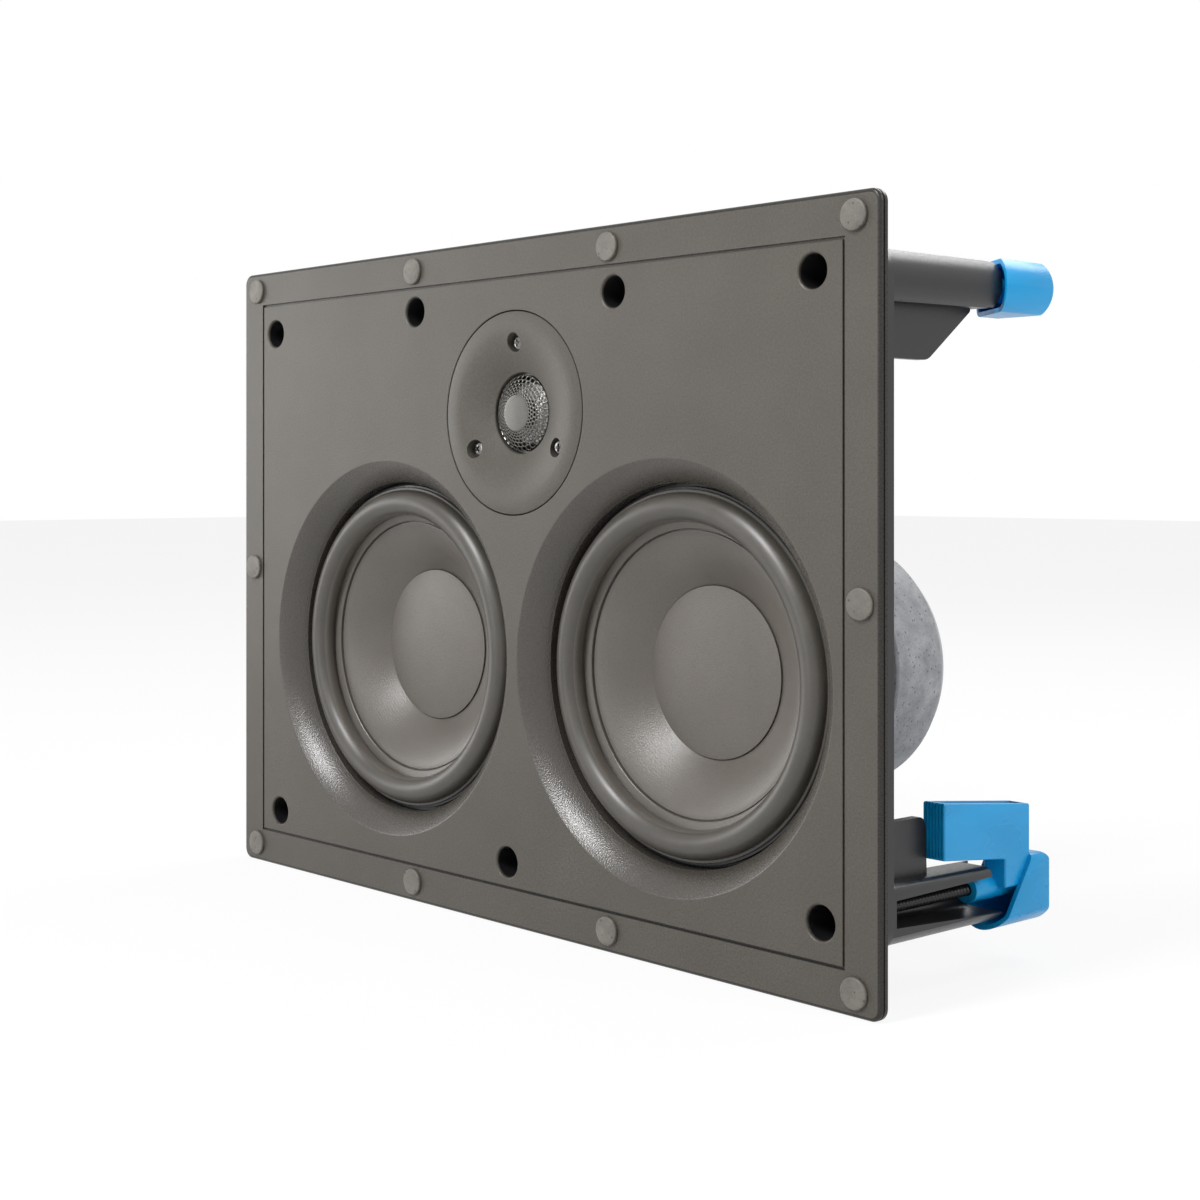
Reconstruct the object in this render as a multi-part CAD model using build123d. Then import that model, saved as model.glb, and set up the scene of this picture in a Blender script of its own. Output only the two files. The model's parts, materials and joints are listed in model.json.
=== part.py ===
from build123d import *
import math
import os

# In wall speaker: two woofers and a tweeter in one moulded baffle, held by seven swing-out clamps.
# Frame: +Z up, the front faces -Y, and the flange's rear face, which bears on the wall, lies at depth 0.
# The origin is the centre of that face. Depths are measured along +Y, into the wall.

# Baffle flange
BAFFLE_WIDTH = 323.5
BAFFLE_HEIGHT = 237.0
BAFFLE_CORNER = 4.0
FLANGE_THICKNESS = 3.5
FRONT_LIP = 1.4
EDGE_ROUND = 1.2
EDGE_GROOVE_WIDTH = 0.5
EDGE_GROOVE_DEPTH = 0.8
BORDER_WIDTH = 13.4
LINE_WIDTH = 0.8
LINE_DEPTH = 0.8

# Collar that passes through the wall's cut-out
COLLAR_INSET_X = 11.7
COLLAR_INSET_Z = 14.0
COLLAR_DEPTH = 18.0
COLLAR_WALL = 3.4
COLLAR_CORNER = 8.0

# Grille magnets on the border
MAGNET_DISC_RADIUS = 4.7
MAGNET_DISC_THICKNESS = 1.2
MAGNET_INSET = 7.2
CORNER_MAGNET_INSET = 9.3
MIDDLE_MAGNET_SPACING = 102.0

# Places of the drivers on the baffle
DRIVER_SHIFT = 3.65
WOOFER_SPACING = 143.4
WOOFER_HEIGHT = -27.0
TWEETER_HEIGHT = 58.4

# Woofer mouth in the baffle
FLARE_RADIUS = 69.0
MOUTH_RADIUS = 61.5
MOUTH_DEPTH = 5.0
SEAT_DEPTH = 9.0
SEAT_RING_RADIUS = 71.0
FLARE_ROUND = 1.0

# Woofer frame and suspension
GASKET_THICKNESS = 1.0
RIM_RADIUS = 69.5
RIM_THICKNESS = 1.8
LAND_RADIUS = 60.4
LAND_BORE = 56.0
LAND_HEIGHT = 2.2
BASKET_NECK_RADIUS = 62.5
BASKET_BODY_RADIUS = 46.0
BASKET_WALL = 1.8
BASKET_SEAT_RADIUS = 41.0
BASKET_SEAT_BORE = 20.0
BASKET_DEPTH = 57.0
SPIDER_DEPTH = 45.0
SPIDER_LEDGE = 3.6
SPIDER_WAVES = 4
SPIDER_WAVE_HEIGHT = 1.6
CLOTH_THICKNESS = 0.6
BASKET_WINDOWS = 8
WINDOW_WIDTH = 27.0
WINDOW_MARGIN = 5.0
WOOFER_SCREW_CIRCLE = 66.0
WOOFER_SCREW_COUNT = 4
WOOFER_SCREW_RADIUS = 1.75
WOOFER_SCREW_LENGTH = 8.0
SCREW_HEAD_RADIUS = 3.1
SCREW_HEAD_HEIGHT = 2.0
SURROUND_OUTER = 59.6
ROLL_OUTER = 58.6
ROLL_INNER = 50.0
ROLL_HEIGHT = 5.2
RUBBER_THICKNESS = 0.9
CONE_LIP = 3.2
CONE_RIM_DEPTH = 11.2
CONE_THICKNESS = 1.0
CONE_GROOVE_WIDTH = 0.5
CONE_GROOVE_DEPTH = 0.5
DUST_CAP_RADIUS = 28.1
DUST_CAP_DEPTH = 22.0
DUST_CAP_RISE = 2.4
DUST_CAP_THICKNESS = 0.8
COIL_RADIUS = 13.0
FORMER_THICKNESS = 0.4
FORMER_LENGTH = 34.8
CONE_TRAVEL = 4.0

# Woofer motor
TOP_PLATE_RADIUS = 40.0
TOP_PLATE_THICKNESS = 5.0
MAGNET_RADIUS = 42.0
MAGNET_THICKNESS = 24.0
MAGNET_BORE = 20.0
BACK_PLATE_THICKNESS = 5.0
BACK_PLATE_RADIUS = 39.0
COIL_GAP = 0.8
POLE_VENT_RADIUS = 4.0
MOTOR_CHAMFER = 0.8

# Woofer terminal board
TAG_BOARD_HEIGHT = 26.0
TAG_BOARD_DEPTH = 8.0
TAG_BOARD_THICKNESS = 1.6
TAG_WIDTH = 4.8
TAG_THICKNESS = 0.8
TAG_LENGTH = 12.0
TAG_OVERLAP = 5.0

# Tweeter
TWEETER_RADIUS = 35.1
TWEETER_POCKET_DEPTH = 7.5
TWEETER_FLOOR = 3.0
TWEETER_WALL = 3.2
DISH_RADIUS = 30.0
DISH_DEPTH = 4.5
LENS_OPENING = 14.0
TWEETER_SCREW_CIRCLE = 24.3
TWEETER_SCREW_COUNT = 3
TWEETER_SCREW_RADIUS = 1.4
TWEETER_SCREW_LENGTH = 9.0
TWEETER_HEAD_RADIUS = 2.6
TWEETER_HEAD_HEIGHT = 1.7
TWEETER_COUNTERBORE = 3.3
TWEETER_HEAD_DEPTH = 2.2
LENS_RADIUS = 15.6
LENS_BASE_RADIUS = 13.2
LENS_RISE = 4.0
LENS_SKIRT = 1.7
LENS_THICKNESS = 0.6
LENS_RIM = 0.7
LENS_CENTRE_RADIUS = 6.2
LENS_RINGS = 4
LENS_HOLES_PER_RING = 26
LENS_HOLE_RADIUS = 0.62
DOME_RADIUS = 12.4
DOME_RISE = 3.6
DOME_THICKNESS = 0.4
TWEETER_SURROUND_RADIUS = 17.6
TWEETER_MOTOR_RADIUS = 19.2
TWEETER_PLATE_THICKNESS = 3.0
TWEETER_MAGNET_THICKNESS = 9.0
TWEETER_CHAMBER_DEPTH = 12.0
TWEETER_GAP = 0.6

# Clamp posts
SCREW_EDGE_GAP = 22.0
SCREW_SIDE_GAP = 25.0
TOP_POST_SPACING = 103.5
TOP_POST_SHIFT = 1.5
BOTTOM_POST_SHIFT = 0.9
DRIVER_HOLE_RADIUS = 5.15
DRIVER_HOLE_CHAMFER = 0.7
SCREW_SEAT_DEPTH = 16.0
SCREW_SEAT_THICKNESS = 6.0
POST_OUTER_FLAT = 7.9
POST_INNER_FLAT = 7.8
POST_INNER_FLAT_END = 6.9
POST_DOG_SIDE = 9.2
POST_DOG_SIDE_END = 7.7
POST_ROUND_SIDE = 10.7
POST_ROUND_EDGE = 6.7
POST_DOG_CORNER = 3.0
POST_CORNER = 1.5
POST_LENGTH = 73.6
POST_SHORT_WALL = 70.0
POST_LONG_WALL = 76.2
SLOT_HALF_WIDTH = 4.1
SLOT_END_DOG_SIDE = 5.0
SLOT_END_ROUND_SIDE = 7.0
SLOT_CORNER = 2.5
GUSSET_THICKNESS = 3.0
GUSSET_REACH = 24.0
GUSSET_DEPTH = 49.5
GUSSET_TOP_DEPTH = 71.5
GUSSET_ROUND = 6.0
SIDE_GUSSET_REACH = 25.9
SIDE_GUSSET_DEPTH = 44.2

# Clamp screws
CLAMP_SCREW_RADIUS = 2.0
CLAMP_SCREW_HEAD_RADIUS = 4.1
CLAMP_SCREW_HEAD_HEIGHT = 3.0
HEAD_POCKET_CLEARANCE = 0.6
HEAD_POCKET_LIP = 0.6
CLAMP_SCREW_TIP_GAP = 1.0
SEAT_CLEARANCE = 0.3

# Clamp dogs
BARREL_RADIUS = 4.2
BARREL_FRONT = 67.0
DOG_RUNNING_FIT = 0.08
DOG_REAR = 100.5
DOG_WALL = 1.5
CUP_LEFT = 8.0
CUP_RIGHT = 8.9
CUP_LIP = 13.5
CUP_LIP_EDGE = 8.9
CUP_BACK = 9.8
CUP_BACK_ROUND = 6.0
CUP_CORNER = 2.5
CUP_REAR_ROUND = 1.4
CUP_LIP_FRONT = 74.0
CUP_SLANT = 0.72
LEG_FRONT = 77.6
LEG_REAR = 91.0
HEAD_FRONT = 46.0
HEAD_LEFT = 0.8
HEAD_RIGHT = 7.4
HEAD_BOTTOM = 12.6
HEAD_TOP = 30.2
HEAD_SLOPE = 6.0
HEAD_ROUND = 0.7
HEAD_FRONT_WALL = 2.2
HEAD_RIBS = 7
RIB_GROOVE_WIDTH = 0.5
RIB_GROOVE_DEPTH = 0.6

# Crossover board and its parts
BOARD_WIDTH = 66.0
BOARD_HEIGHT = 36.0
BOARD_THICKNESS = 1.6
BOARD_POST_GAP = 37.75
BOARD_CENTRE_Z = 68.0
STANDOFF_HEIGHT = 8.0
STANDOFF_RADIUS = 3.4
STANDOFF_INSET = 4.0
BOARD_SCREW_RADIUS = 1.3
BOARD_SCREW_LENGTH = 7.0
BOARD_HEAD_RADIUS = 2.5
BOARD_HEAD_HEIGHT = 1.6
LARGE_COIL_RADIUS = 11.0
LARGE_COIL_HEIGHT = 14.0
SMALL_COIL_RADIUS = 8.5
SMALL_COIL_HEIGHT = 10.0
COIL_FLANGE = 1.2
COIL_BORE = 4.0
LARGE_CAPACITOR_RADIUS = 4.0
LARGE_CAPACITOR_LENGTH = 14.0
SMALL_CAPACITOR_RADIUS = 3.2
SMALL_CAPACITOR_LENGTH = 14.0
RESISTOR_LENGTH = 20.0
RESISTOR_SIDE = 6.0
PART_CLEARANCE = 0.1
TERMINAL_WIDTH = 30.0
TERMINAL_HEIGHT = 15.0
TERMINAL_DEPTH = 13.0
TERMINAL_WIRE_RADIUS = 1.8
BUTTON_WIDTH = 8.0
BUTTON_HEIGHT = 6.0
BUTTON_PROUD = 3.2
BUTTON_TRAVEL = 2.0
BUTTON_CLEARANCE = 0.35
BUTTON_SPACING = 14.0

# Clearances shared by the fits
FIT_CLEARANCE = 0.2
GLUE_GAP = 0.3
RECESS_WIDTH = 0.8
RECESS_DEPTH = 1.0

# Values worked out from the sizes above
FRONT = -FLANGE_THICKNESS
WOOFER_X = {
    "left": DRIVER_SHIFT - WOOFER_SPACING / 2,
    "right": DRIVER_SHIFT + WOOFER_SPACING / 2,
}
RIM_FRONT = SEAT_DEPTH + GASKET_THICKNESS
LAND_FRONT = RIM_FRONT - LAND_HEIGHT
RIM_BACK = RIM_FRONT + RIM_THICKNESS
TOP_PLATE_BACK = BASKET_DEPTH + TOP_PLATE_THICKNESS
MAGNET_BACK = TOP_PLATE_BACK + MAGNET_THICKNESS
MOTOR_BACK = MAGNET_BACK + BACK_PLATE_THICKNESS
POCKET_FLOOR = FRONT + TWEETER_POCKET_DEPTH
SLOT_START = SCREW_SEAT_DEPTH + SCREW_SEAT_THICKNESS
HEAD_POCKET_DEPTH = SCREW_SEAT_DEPTH - CLAMP_SCREW_HEAD_HEIGHT - HEAD_POCKET_LIP
BOARD_CENTRE_X = TOP_POST_SHIFT - TOP_POST_SPACING / 2 - BOARD_POST_GAP
BOARD_FRONT = STANDOFF_HEIGHT
BOARD_BACK = BOARD_FRONT + BOARD_THICKNESS


def at_depth(sketch, front, back):
    """Thickens a sketch drawn in X and Z from one depth to another."""
    return extrude(Pos(0, front, 0) * (Plane.XZ * sketch), amount=back - front, dir=(0, 1, 0))


def turned(points):
    """Turns a closed outline of (radius, depth) points about the Y axis."""
    return revolve(make_face(Polyline(*points, close=True)), Axis.Y)


def round_bar(radius, front, back, x=0.0, z=0.0):
    """A plain cylinder along Y."""
    return at_depth(Pos(x, z) * Circle(radius), front, back)


def ring(outer, inner, front, back):
    """A flat ring about the Y axis."""
    return at_depth(Circle(outer) - Circle(inner), front, back)


def block(x_span, y_span, z_span):
    """A rectangular block between two X values, two depths and two heights."""
    size = [high - low for low, high in (x_span, y_span, z_span)]
    centre = [(high + low) / 2 for low, high in (x_span, y_span, z_span)]
    return Pos(*centre) * Box(*size)


def around(radius, count, start=0.0):
    """Places on a circle in X and Z."""
    angles = [math.radians(start + 360 * i / count) for i in range(count)]
    return [(radius * math.cos(a), radius * math.sin(a)) for a in angles]


def cross_recess(radius, front):
    """The cross-shaped driver recess of a screw head."""
    bars = Rectangle(2 * radius, RECESS_WIDTH) + Rectangle(RECESS_WIDTH, 2 * radius)
    return at_depth(bars, front, front + RECESS_DEPTH)


def screw(head_radius, head_height, shank_radius, length, head_front, forward=True):
    """A cross-recess screw along Y, with its head in front, or behind when forward is False."""
    head = round_bar(head_radius, 0, head_height)
    head = fillet(head.edges().sort_by(Axis.Y)[0], head_height * 0.4)
    body = head + round_bar(shank_radius, head_height, head_height + length)
    body -= cross_recess(head_radius * 0.55, 0)
    if not forward:
        body = Rot(0, 0, 180) * body
    return Pos(0, head_front, 0) * body


def cap_sphere(radius, rise):
    """Radius of the sphere whose cap has a given edge radius and rise."""
    return (radius ** 2 + rise ** 2) / (2 * rise)


def cap_arc(centre, sphere, radius):
    """The arc of a cap that bulges to the front, from the axis out to an edge radius."""
    return CenterArc((0, centre), sphere, -90, math.degrees(math.asin(radius / sphere)))


def clamp_places():
    """Name, X, Z and turn about Y of each clamp. At turn 0 a dog is parked upwards and swings out to +X."""
    side = BAFFLE_WIDTH / 2
    top = BAFFLE_HEIGHT / 2
    return [
        ("top_left", SCREW_EDGE_GAP - side, top - SCREW_SIDE_GAP, 180),
        ("top_middle_left", TOP_POST_SHIFT - TOP_POST_SPACING / 2, top - SCREW_EDGE_GAP, -90),
        ("top_middle_right", TOP_POST_SHIFT + TOP_POST_SPACING / 2, top - SCREW_EDGE_GAP, -90),
        ("top_right", side - SCREW_SIDE_GAP, top - SCREW_EDGE_GAP, -90),
        ("bottom_left", SCREW_SIDE_GAP - side, SCREW_EDGE_GAP - top, 90),
        ("bottom_middle", BOTTOM_POST_SHIFT, SCREW_EDGE_GAP - top, 90),
        ("bottom_right", side - SCREW_EDGE_GAP, SCREW_SIDE_GAP - top, 0),
    ]


def clamp_location(place):
    """The location of a clamp's own frame on the baffle."""
    _, x, z, turn = place
    return Location((x, 0, z), (0, turn, 0))


# Baffle frame

def flange():
    """The flange and panel with a rounded front lip and the grille groove round its edge."""
    outline = RectangleRounded(BAFFLE_WIDTH, BAFFLE_HEIGHT, BAFFLE_CORNER)
    waist = offset(outline, amount=-EDGE_GROOVE_DEPTH)
    lip_back = FRONT + FRONT_LIP
    groove_back = lip_back + EDGE_GROOVE_WIDTH
    lip = at_depth(outline, FRONT, lip_back)
    front_edges = lip.edges().group_by(Axis.Y)[0]
    lip = fillet(front_edges, min(EDGE_ROUND, FRONT_LIP * 0.9))
    return lip + at_depth(waist, lip_back, groove_back) + at_depth(outline, groove_back, 0)


def border_line():
    """The fine groove that parts the border from the inner panel."""
    width = BAFFLE_WIDTH - 2 * BORDER_WIDTH
    height = BAFFLE_HEIGHT - 2 * BORDER_WIDTH
    outer = Rectangle(width + LINE_WIDTH, height + LINE_WIDTH)
    inner = Rectangle(width - LINE_WIDTH, height - LINE_WIDTH)
    return at_depth(outer - inner, FRONT, FRONT + LINE_DEPTH)


def collar():
    """The rectangular wall behind the flange."""
    width = BAFFLE_WIDTH - 2 * COLLAR_INSET_X
    height = BAFFLE_HEIGHT - 2 * COLLAR_INSET_Z
    outer = RectangleRounded(width, height, COLLAR_CORNER)
    return at_depth(outer - offset(outer, amount=-COLLAR_WALL), 0, COLLAR_DEPTH)


def mouth_cut():
    """The flared mouth in front of a woofer, with a softly rounded front edge."""
    mid = (FLARE_RADIUS + MOUTH_RADIUS) / 2
    mid_depth = (FRONT + MOUTH_DEPTH) / 2 + FLARE_ROUND
    edge = (
        Line((0, FRONT), (FLARE_RADIUS, FRONT))
        + ThreePointArc((FLARE_RADIUS, FRONT), (mid, mid_depth - FLARE_ROUND * 2), (MOUTH_RADIUS, MOUTH_DEPTH))
        + Polyline((MOUTH_RADIUS, MOUTH_DEPTH), (MOUTH_RADIUS, SEAT_DEPTH), (0, SEAT_DEPTH), (0, FRONT))
    )
    return revolve(make_face(edge), Axis.Y)


def woofer_seat_holes():
    """Pilot holes for the screws that hold a woofer."""
    bottom = SEAT_DEPTH - WOOFER_SCREW_LENGTH + RIM_THICKNESS
    holes = [
        round_bar(WOOFER_SCREW_RADIUS + FIT_CLEARANCE, bottom, SEAT_DEPTH, x, z)
        for x, z in around(WOOFER_SCREW_CIRCLE, WOOFER_SCREW_COUNT, 45)
    ]
    return Compound(children=holes)


def tweeter_pocket():
    """What is cut from the baffle for the tweeter: the pocket and the way through for its motor."""
    pocket = round_bar(TWEETER_RADIUS + FIT_CLEARANCE, FRONT, POCKET_FLOOR)
    way = round_bar(TWEETER_MOTOR_RADIUS + SEAT_CLEARANCE, POCKET_FLOOR, POCKET_FLOOR + TWEETER_FLOOR)
    return pocket + way


def tweeter_screw_bosses():
    """Bosses behind the pocket floor that take the tweeter's screws."""
    back = POCKET_FLOOR + TWEETER_SCREW_LENGTH
    places = around(TWEETER_SCREW_CIRCLE, TWEETER_SCREW_COUNT, 90)
    bosses = [round_bar(3 * TWEETER_SCREW_RADIUS, POCKET_FLOOR, back, x, z) for x, z in places]
    holes = [
        round_bar(TWEETER_SCREW_RADIUS + FIT_CLEARANCE, POCKET_FLOOR - 1, back - 1, x, z) for x, z in places
    ]
    return bosses, holes


def rounded_outline(left, right, low, high, corners):
    """A rectangle between two X and two Z values whose -X corners are rounded."""
    outline = Pos((left + right) / 2, (low + high) / 2) * Rectangle(right - left, high - low)
    return fillet(outline.vertices().group_by(Axis.X)[0], corners)


def post_outline(inner_flat, dog_side):
    """Section of a post: three flats and one bowed side, which faces away from the parked dog."""
    middle = (POST_OUTER_FLAT - inner_flat) / 2
    edge = (
        Polyline(
            (POST_OUTER_FLAT, -POST_ROUND_EDGE), (POST_OUTER_FLAT, dog_side), (-inner_flat, dog_side),
            (-inner_flat, -POST_ROUND_EDGE),
        )
        + ThreePointArc(
            (-inner_flat, -POST_ROUND_EDGE), (middle, -POST_ROUND_SIDE), (POST_OUTER_FLAT, -POST_ROUND_EDGE)
        )
    )
    outline = make_face(edge)
    outline = fillet(outline.vertices().group_by(Axis.Y)[-1], POST_DOG_CORNER)
    return fillet(outline.vertices().group_by(Axis.Y)[0], POST_CORNER)


def lofted(front_outline, front, back_outline, back):
    """A tapered bar along Y between two outlines drawn in X and Z."""
    sections = [Pos(0, front, 0) * (Plane.XZ * front_outline), Pos(0, back, 0) * (Plane.XZ * back_outline)]
    return loft(sections, ruled=True)


def gusset(reach, depth, inner_reach, inner_depth, corner):
    """A plate in the X and Y plane that braces a post, with one rounded corner."""
    plate = make_face(Polyline(
        (0, 0), (reach, 0), (reach, depth), (inner_reach, inner_depth), (0, inner_depth), close=True,
    ))
    rounded = [v for v in plate.vertices() if abs(v.X - reach) + abs(v.Y - depth) < FIT_CLEARANCE]
    plate = fillet(rounded, corner)
    return extrude(plate, amount=GUSSET_THICKNESS / 2, both=True)


def clamp_post():
    """One post with its two gussets, in the clamp's own frame."""
    root = post_outline(POST_INNER_FLAT, POST_DOG_SIDE)
    end = post_outline(POST_INNER_FLAT_END, POST_DOG_SIDE_END)
    post = lofted(root, 0, end, POST_LENGTH)
    post += at_depth(end, POST_LENGTH, POST_LONG_WALL)
    post += gusset(-GUSSET_REACH, GUSSET_DEPTH, -POST_INNER_FLAT, GUSSET_TOP_DEPTH, GUSSET_ROUND)
    side = gusset(SIDE_GUSSET_REACH, SIDE_GUSSET_DEPTH, POST_DOG_CORNER, SIDE_GUSSET_DEPTH + 1, POST_DOG_CORNER)
    return post + Rot(0, -90, 0) * side


def clamp_post_cuts():
    """The screwdriver hole, the head's pocket, the screw's seat, the slot and the shortened wall of a post."""
    bore = round_bar(DRIVER_HOLE_RADIUS, FRONT, HEAD_POCKET_DEPTH)
    bore += round_bar(CLAMP_SCREW_HEAD_RADIUS + HEAD_POCKET_CLEARANCE, FRONT, SCREW_SEAT_DEPTH)
    rim = DRIVER_HOLE_RADIUS + DRIVER_HOLE_CHAMFER
    bore += turned([(0, FRONT), (rim, FRONT), (DRIVER_HOLE_RADIUS, FRONT + DRIVER_HOLE_CHAMFER), (0, SLOT_START)])
    bore += round_bar(CLAMP_SCREW_RADIUS + SEAT_CLEARANCE, SCREW_SEAT_DEPTH, SLOT_START)
    reach = 2 * POST_OUTER_FLAT
    half = SLOT_HALF_WIDTH
    root = rounded_outline(-half, reach, -half, half, SLOT_CORNER)
    end = rounded_outline(-SLOT_END_DOG_SIDE, reach, -SLOT_END_ROUND_SIDE, SLOT_END_DOG_SIDE, SLOT_CORNER)
    slot = lofted(root, SLOT_START, end, POST_LONG_WALL)
    short = block((-POST_INNER_FLAT / 2, reach), (POST_SHORT_WALL, POST_LONG_WALL), (0, 2 * POST_DOG_SIDE))
    above_bow = block((-reach, reach), (POST_LENGTH, POST_LONG_WALL), (-SLOT_END_ROUND_SIDE, 2 * POST_DOG_SIDE))
    return bore + slot + short + above_bow


def standoff_places():
    """Centres of the four board standoffs."""
    half_x = BOARD_WIDTH / 2 - STANDOFF_INSET
    half_z = BOARD_HEIGHT / 2 - STANDOFF_INSET
    return [(BOARD_CENTRE_X + sx * half_x, BOARD_CENTRE_Z + sz * half_z) for sx in (-1, 1) for sz in (-1, 1)]


def baffle_frame():
    """The whole baffle moulding."""
    body = flange() - border_line() + collar()
    for x in WOOFER_X.values():
        body += Pos(x, 0, WOOFER_HEIGHT) * round_bar(SEAT_RING_RADIUS, 0, SEAT_DEPTH)
    tweeter = Pos(DRIVER_SHIFT, 0, TWEETER_HEIGHT)
    body += tweeter * round_bar(TWEETER_RADIUS + TWEETER_WALL, 0, POCKET_FLOOR + TWEETER_FLOOR)
    bosses, holes = tweeter_screw_bosses()
    for boss in bosses:
        body += tweeter * boss
    for x, z in standoff_places():
        body += round_bar(STANDOFF_RADIUS, 0, STANDOFF_HEIGHT, x, z)
    for place in clamp_places():
        body += clamp_location(place) * clamp_post()
    for x in WOOFER_X.values():
        body -= Pos(x, 0, WOOFER_HEIGHT) * mouth_cut()
        body -= Pos(x, 0, WOOFER_HEIGHT) * woofer_seat_holes()
    body -= tweeter * tweeter_pocket()
    for hole in holes:
        body -= tweeter * hole
    for x, z in standoff_places():
        body -= round_bar(BOARD_SCREW_RADIUS + FIT_CLEARANCE, BOARD_FRONT - BOARD_SCREW_LENGTH, BOARD_FRONT, x, z)
    for place in clamp_places():
        body -= clamp_location(place) * clamp_post_cuts()
    return body


def grille_magnets():
    """Ten thin magnet discs that hold the grille to the border."""
    corner_x = BAFFLE_WIDTH / 2 - CORNER_MAGNET_INSET
    side_x = BAFFLE_WIDTH / 2 - MAGNET_INSET
    row_z = BAFFLE_HEIGHT / 2 - MAGNET_INSET
    middle_x = MIDDLE_MAGNET_SPACING / 2
    places = [(sx * x, sz * row_z) for sz in (-1, 1) for sx in (-1, 1) for x in (corner_x, middle_x)]
    places += [(-side_x, 0), (side_x, 0)]
    disc = round_bar(MAGNET_DISC_RADIUS, FRONT - MAGNET_DISC_THICKNESS, FRONT)
    disc = chamfer(disc.edges().sort_by(Axis.Y)[0], MAGNET_DISC_THICKNESS / 5)
    return Compound(children=[Pos(x, 0, z) * disc for x, z in places])


# Clamps, each in its own frame: dog parked towards +Z, swinging out to +X

def clamp_screw():
    """A long clamp screw with its head on the post's seat."""
    head_front = SCREW_SEAT_DEPTH - CLAMP_SCREW_HEAD_HEIGHT
    tip = DOG_REAR - DOG_WALL - 2 * CLAMP_SCREW_TIP_GAP
    length = tip - SCREW_SEAT_DEPTH
    return screw(CLAMP_SCREW_HEAD_RADIUS, CLAMP_SCREW_HEAD_HEIGHT, CLAMP_SCREW_RADIUS, length, head_front)


def cup_side(inset):
    """The cup's outline seen from its side, with a large round behind the head, as a wide block."""
    low, high = inset - 2 * CUP_LIP, CUP_BACK - inset
    front, back = HEAD_FRONT, DOG_REAR - inset
    face = make_face(Polyline((0, front, low), (0, back, low), (0, back, high), (0, front, high), close=True))
    corner = face.vertices().group_by(Axis.Z)[-1].sort_by(Axis.Y)[-1]
    return extrude(fillet(corner, CUP_BACK_ROUND - inset), amount=2 * CUP_LIP, both=True)


def dog_cup():
    """The cup that wraps the post's end, open to the front with a slanted rim."""
    width = CUP_LEFT + CUP_RIGHT
    edge = (
        Polyline(
            (CUP_RIGHT, -CUP_LIP_EDGE), (CUP_RIGHT, CUP_BACK), (-CUP_LEFT, CUP_BACK), (-CUP_LEFT, -CUP_LIP_EDGE)
        )
        + ThreePointArc((-CUP_LEFT, -CUP_LIP_EDGE), (0, -CUP_LIP), (CUP_RIGHT, -CUP_LIP_EDGE))
    )
    outline = fillet(make_face(edge).vertices(), CUP_CORNER)
    cup = at_depth(outline, POST_SHORT_WALL, DOG_REAR)
    cup = fillet(cup.edges().group_by(Axis.Y)[-1], CUP_REAR_ROUND) & cup_side(0)
    hollow = at_depth(offset(outline, amount=-DOG_WALL), POST_SHORT_WALL, DOG_REAR - DOG_WALL)
    cup -= hollow & cup_side(DOG_WALL)
    far_z = 2 * CUP_BACK
    rim = [
        (0, CUP_LIP_FRONT, -CUP_LIP),
        (0, CUP_LIP_FRONT + CUP_SLANT * (far_z + CUP_LIP), far_z),
        (0, POST_SHORT_WALL - 1, far_z),
        (0, POST_SHORT_WALL - 1, -2 * CUP_LIP),
        (0, CUP_LIP_FRONT, -2 * CUP_LIP),
    ]
    return cup - extrude(make_face(Polyline(*rim, close=True)), amount=2 * width, both=True)


def dog_arm():
    """The leg and the hollow clamping head, as one bent plate with ribs on its gripping face."""
    drop = math.tan(math.radians(HEAD_SLOPE))
    side = [
        (0, LEG_FRONT, 0),
        (0, LEG_FRONT, HEAD_BOTTOM - drop * (LEG_FRONT - HEAD_FRONT)),
        (0, HEAD_FRONT, HEAD_BOTTOM),
        (0, HEAD_FRONT, HEAD_TOP),
        (0, LEG_REAR, HEAD_TOP - drop * (LEG_REAR - HEAD_FRONT)),
        (0, LEG_REAR, CUP_BACK - DOG_WALL),
        (0, DOG_REAR - DOG_WALL, CUP_BACK - DOG_WALL),
        (0, DOG_REAR - DOG_WALL, 0),
    ]
    width = HEAD_LEFT + HEAD_RIGHT
    profile = make_face(Polyline(*side, close=True))
    arm = Pos(-HEAD_LEFT, 0, 0) * extrude(profile, amount=width, dir=(1, 0, 0))
    arm = fillet(arm.edges(), HEAD_ROUND)
    pocket_front = HEAD_FRONT + HEAD_FRONT_WALL
    pocket_back = LEG_REAR - DOG_WALL
    floor = [HEAD_BOTTOM - drop * (y - HEAD_FRONT) + DOG_WALL for y in (pocket_front, pocket_back)]
    hollow = [
        (0, pocket_front, floor[0]),
        (0, pocket_front, 2 * HEAD_TOP),
        (0, pocket_back, 2 * HEAD_TOP),
        (0, pocket_back, floor[1]),
    ]
    hollow_face = make_face(Polyline(*hollow, close=True))
    arm -= Pos(DOG_WALL - HEAD_LEFT, 0, 0) * extrude(hollow_face, amount=width - 2 * DOG_WALL, dir=(1, 0, 0))
    pitch = width / HEAD_RIBS
    for i in range(1, HEAD_RIBS):
        x = pitch * i - HEAD_LEFT
        span = (x - RIB_GROOVE_WIDTH / 2, x + RIB_GROOVE_WIDTH / 2)
        arm -= block(span, (HEAD_FRONT - 1, HEAD_FRONT + RIB_GROOVE_DEPTH), (0, 2 * HEAD_TOP))
    return arm


def clamp_dog():
    """The whole dog moulding: barrel, leg, head and cup in one piece."""
    dog = dog_cup() + dog_arm() + round_bar(BARREL_RADIUS, BARREL_FRONT, DOG_REAR - DOG_WALL)
    bore_back = DOG_REAR - DOG_WALL - CLAMP_SCREW_TIP_GAP
    return dog - round_bar(CLAMP_SCREW_RADIUS + DOG_RUNNING_FIT, BARREL_FRONT, bore_back)


# Woofer, turned about its own axis

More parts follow.
